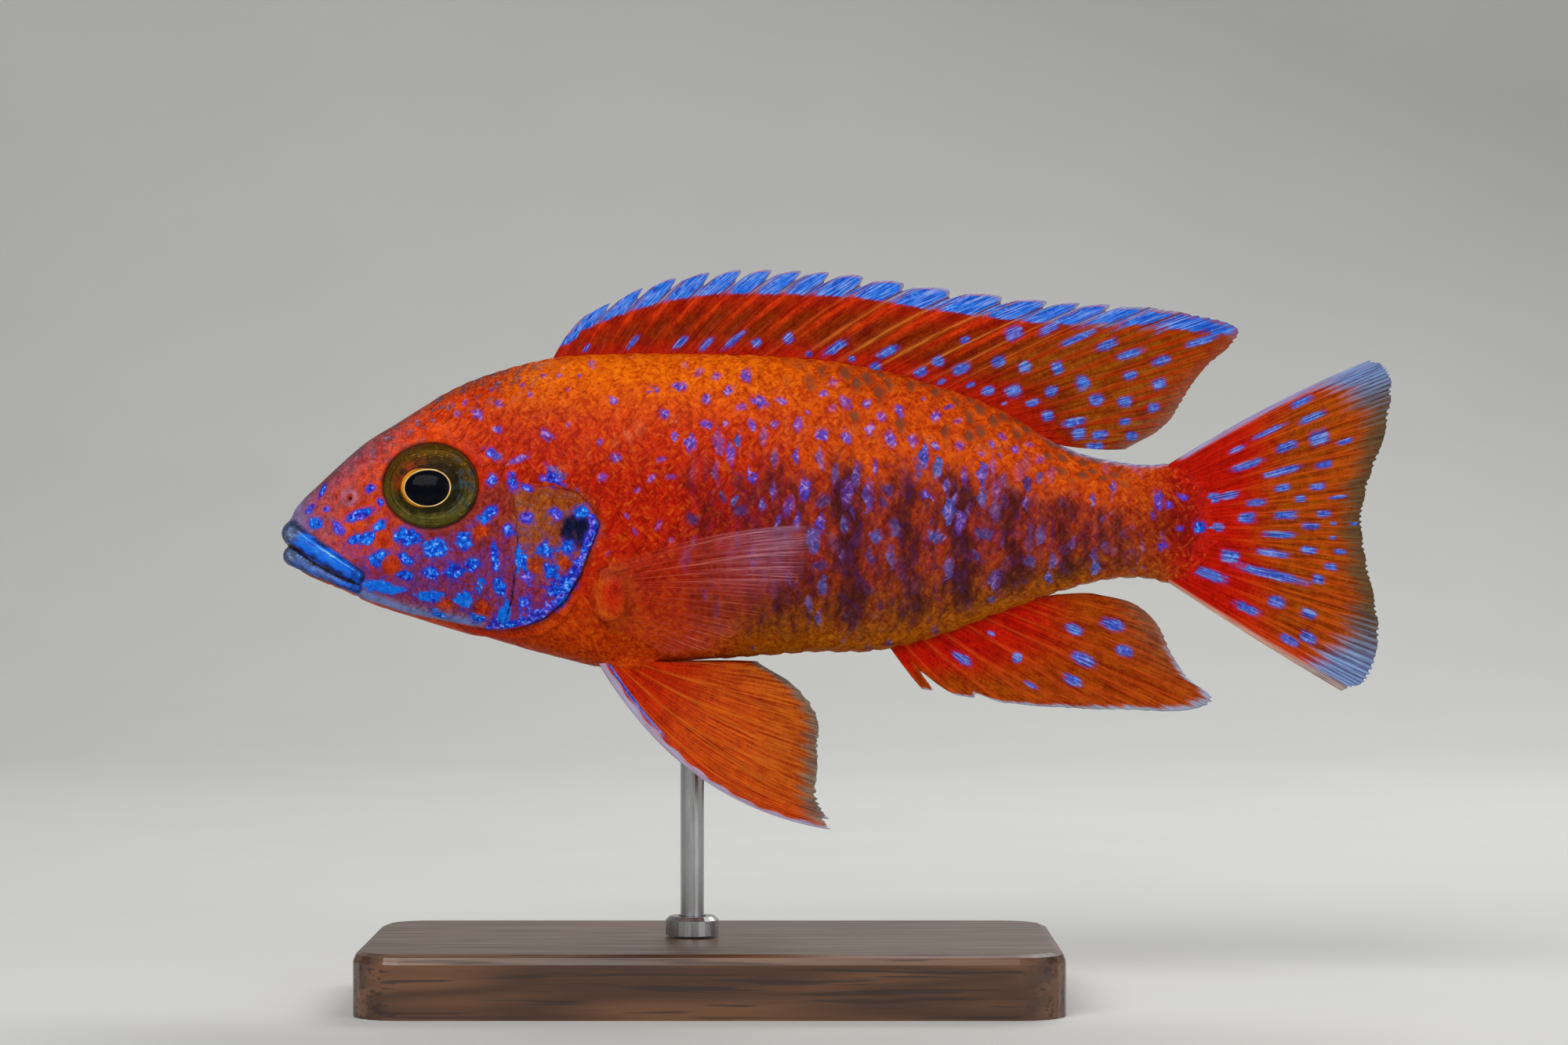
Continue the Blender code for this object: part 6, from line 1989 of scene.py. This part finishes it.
class FISH_OT_skin(bpy.types.Operator):
    """One skin over the head, body and lips"""

    bl_idname = "fish.skin"
    bl_label = "Skin"

    def execute(self, context):
        mesh = skin_mesh()
        unwrap_skin(mesh)
        flesh = (
            "head", "lower_jaw", "gill_cover_left", "gill_cover_right", "trunk_front", "trunk_rear",
            "tail_stem", "upper_lip", "lower_lip",
        )
        show("skin", mesh, skin_material(), flesh)
        return {"FINISHED"}


def skin_tree():
    """A search tree over the skin."""
    skin = bpy.data.objects["skin"].data
    return BVHTree.FromPolygons(
        [vert.co for vert in skin.vertices], [tuple(face.vertices) for face in skin.polygons]
    )


class FISH_OT_body_scales(bpy.types.Operator):
    """Scales of the flanks, nape, belly, breast and tail stem"""

    bl_idname = "fish.body_scales"
    bl_label = "Body scales"

    def execute(self, context):
        tree = skin_tree()
        body_scales(tree)
        breast_scales(tree)
        return {"FINISHED"}


class FISH_OT_face_scales(bpy.types.Operator):
    """Small scales of the cheeks and gill covers"""

    bl_idname = "fish.face_scales"
    bl_label = "Face scales"

    def execute(self, context):
        face_scales(skin_tree())
        return {"FINISHED"}


class FISH_OT_eyes(bpy.types.Operator):
    """Eyeballs and their clear domes"""

    bl_idname = "fish.eyes"
    bl_label = "Eyes"

    def execute(self, context):
        for side, word in SIDES:
            ball, dome = eye_meshes(side)
            show(f"eyeball_{word}", ball, iris_material(), [f"eye_{word}"])
            show(f"cornea_{word}", dome, cornea_material())
        return {"FINISHED"}


class FISH_OT_middle_fins(bpy.types.Operator):
    """Dorsal, anal and tail fins"""

    bl_idname = "fish.middle_fins"
    bl_label = "Middle fins"

    def execute(self, context):
        dorsal_fin()
        anal_fin()
        tail_fin()
        return {"FINISHED"}


class FISH_OT_paired_fins(bpy.types.Operator):
    """Pelvic and pectoral fins"""

    bl_idname = "fish.paired_fins"
    bl_label = "Paired fins"

    def execute(self, context):
        pelvic_fins()
        pectoral_fins()
        return {"FINISHED"}


class FISH_OT_stand(bpy.types.Operator):
    """Finishes of the stand's base, rod and collar"""

    bl_idname = "fish.stand"
    bl_label = "Stand"

    def execute(self, context):
        walnut, steel = walnut_material(), steel_material()
        for name, material in (("stand_base", walnut), ("stand_rod", steel), ("stand_collar", steel)):
            node = bpy.data.objects[name]
            for slot in node.material_slots:
                slot.material = material
            if not node.material_slots:
                node.data.materials.append(material)
        return {"FINISHED"}


class CichlidSettings(bpy.types.PropertyGroup):
    flesh: PointerProperty(type=FleshColours, name="Flesh", description="Colours of the skin and the scales")
    blues: PointerProperty(type=BlueColours, name="Blue marks", description="Colours of the blue marks")
    fins: PointerProperty(type=FinColours, name="Fins", description="Colours of the fins")
    scales: PointerProperty(type=ScaleSizes, name="Scales", description="Sizes of the scales")
    stage: PointerProperty(type=StageSettings, name="Stage", description="Floor and lights")


STEPS = (
    FISH_OT_stage, FISH_OT_skin, FISH_OT_body_scales, FISH_OT_face_scales, FISH_OT_eyes, FISH_OT_middle_fins,
    FISH_OT_paired_fins, FISH_OT_stand,
)


class FISH_PT_panel(bpy.types.Panel):
    """Lists the pieces of the fish and their settings"""

    bl_label = "Peacock Cichlid"
    bl_idname = "FISH_PT_panel"
    bl_space_type = "VIEW_3D"
    bl_region_type = "UI"
    bl_category = "Fish"

    def draw(self, context):
        for group in ("flesh", "blues", "fins", "scales", "stage"):
            box = self.layout.box()
            values = getattr(context.scene.cichlid, group)
            for name in values.bl_rna.properties.keys():
                if name not in ("name", "rna_type"):
                    box.prop(values, name)
        for step_class in STEPS:
            self.layout.operator(step_class.bl_idname)


CLASSES = (
    FleshColours, BlueColours, FinColours, ScaleSizes, StageSettings, CichlidSettings, *STEPS, FISH_PT_panel,
)


def register():
    for each in CLASSES:
        bpy.utils.register_class(each)
    bpy.types.Scene.cichlid = PointerProperty(type=CichlidSettings)


def unregister():
    del bpy.types.Scene.cichlid
    for each in reversed(CLASSES):
        bpy.utils.unregister_class(each)


def main():
    register()
    for step_class in STEPS:
        group, name = step_class.bl_idname.split(".")
        getattr(getattr(bpy.ops, group), name)()


if __name__ == "__main__":
    main()
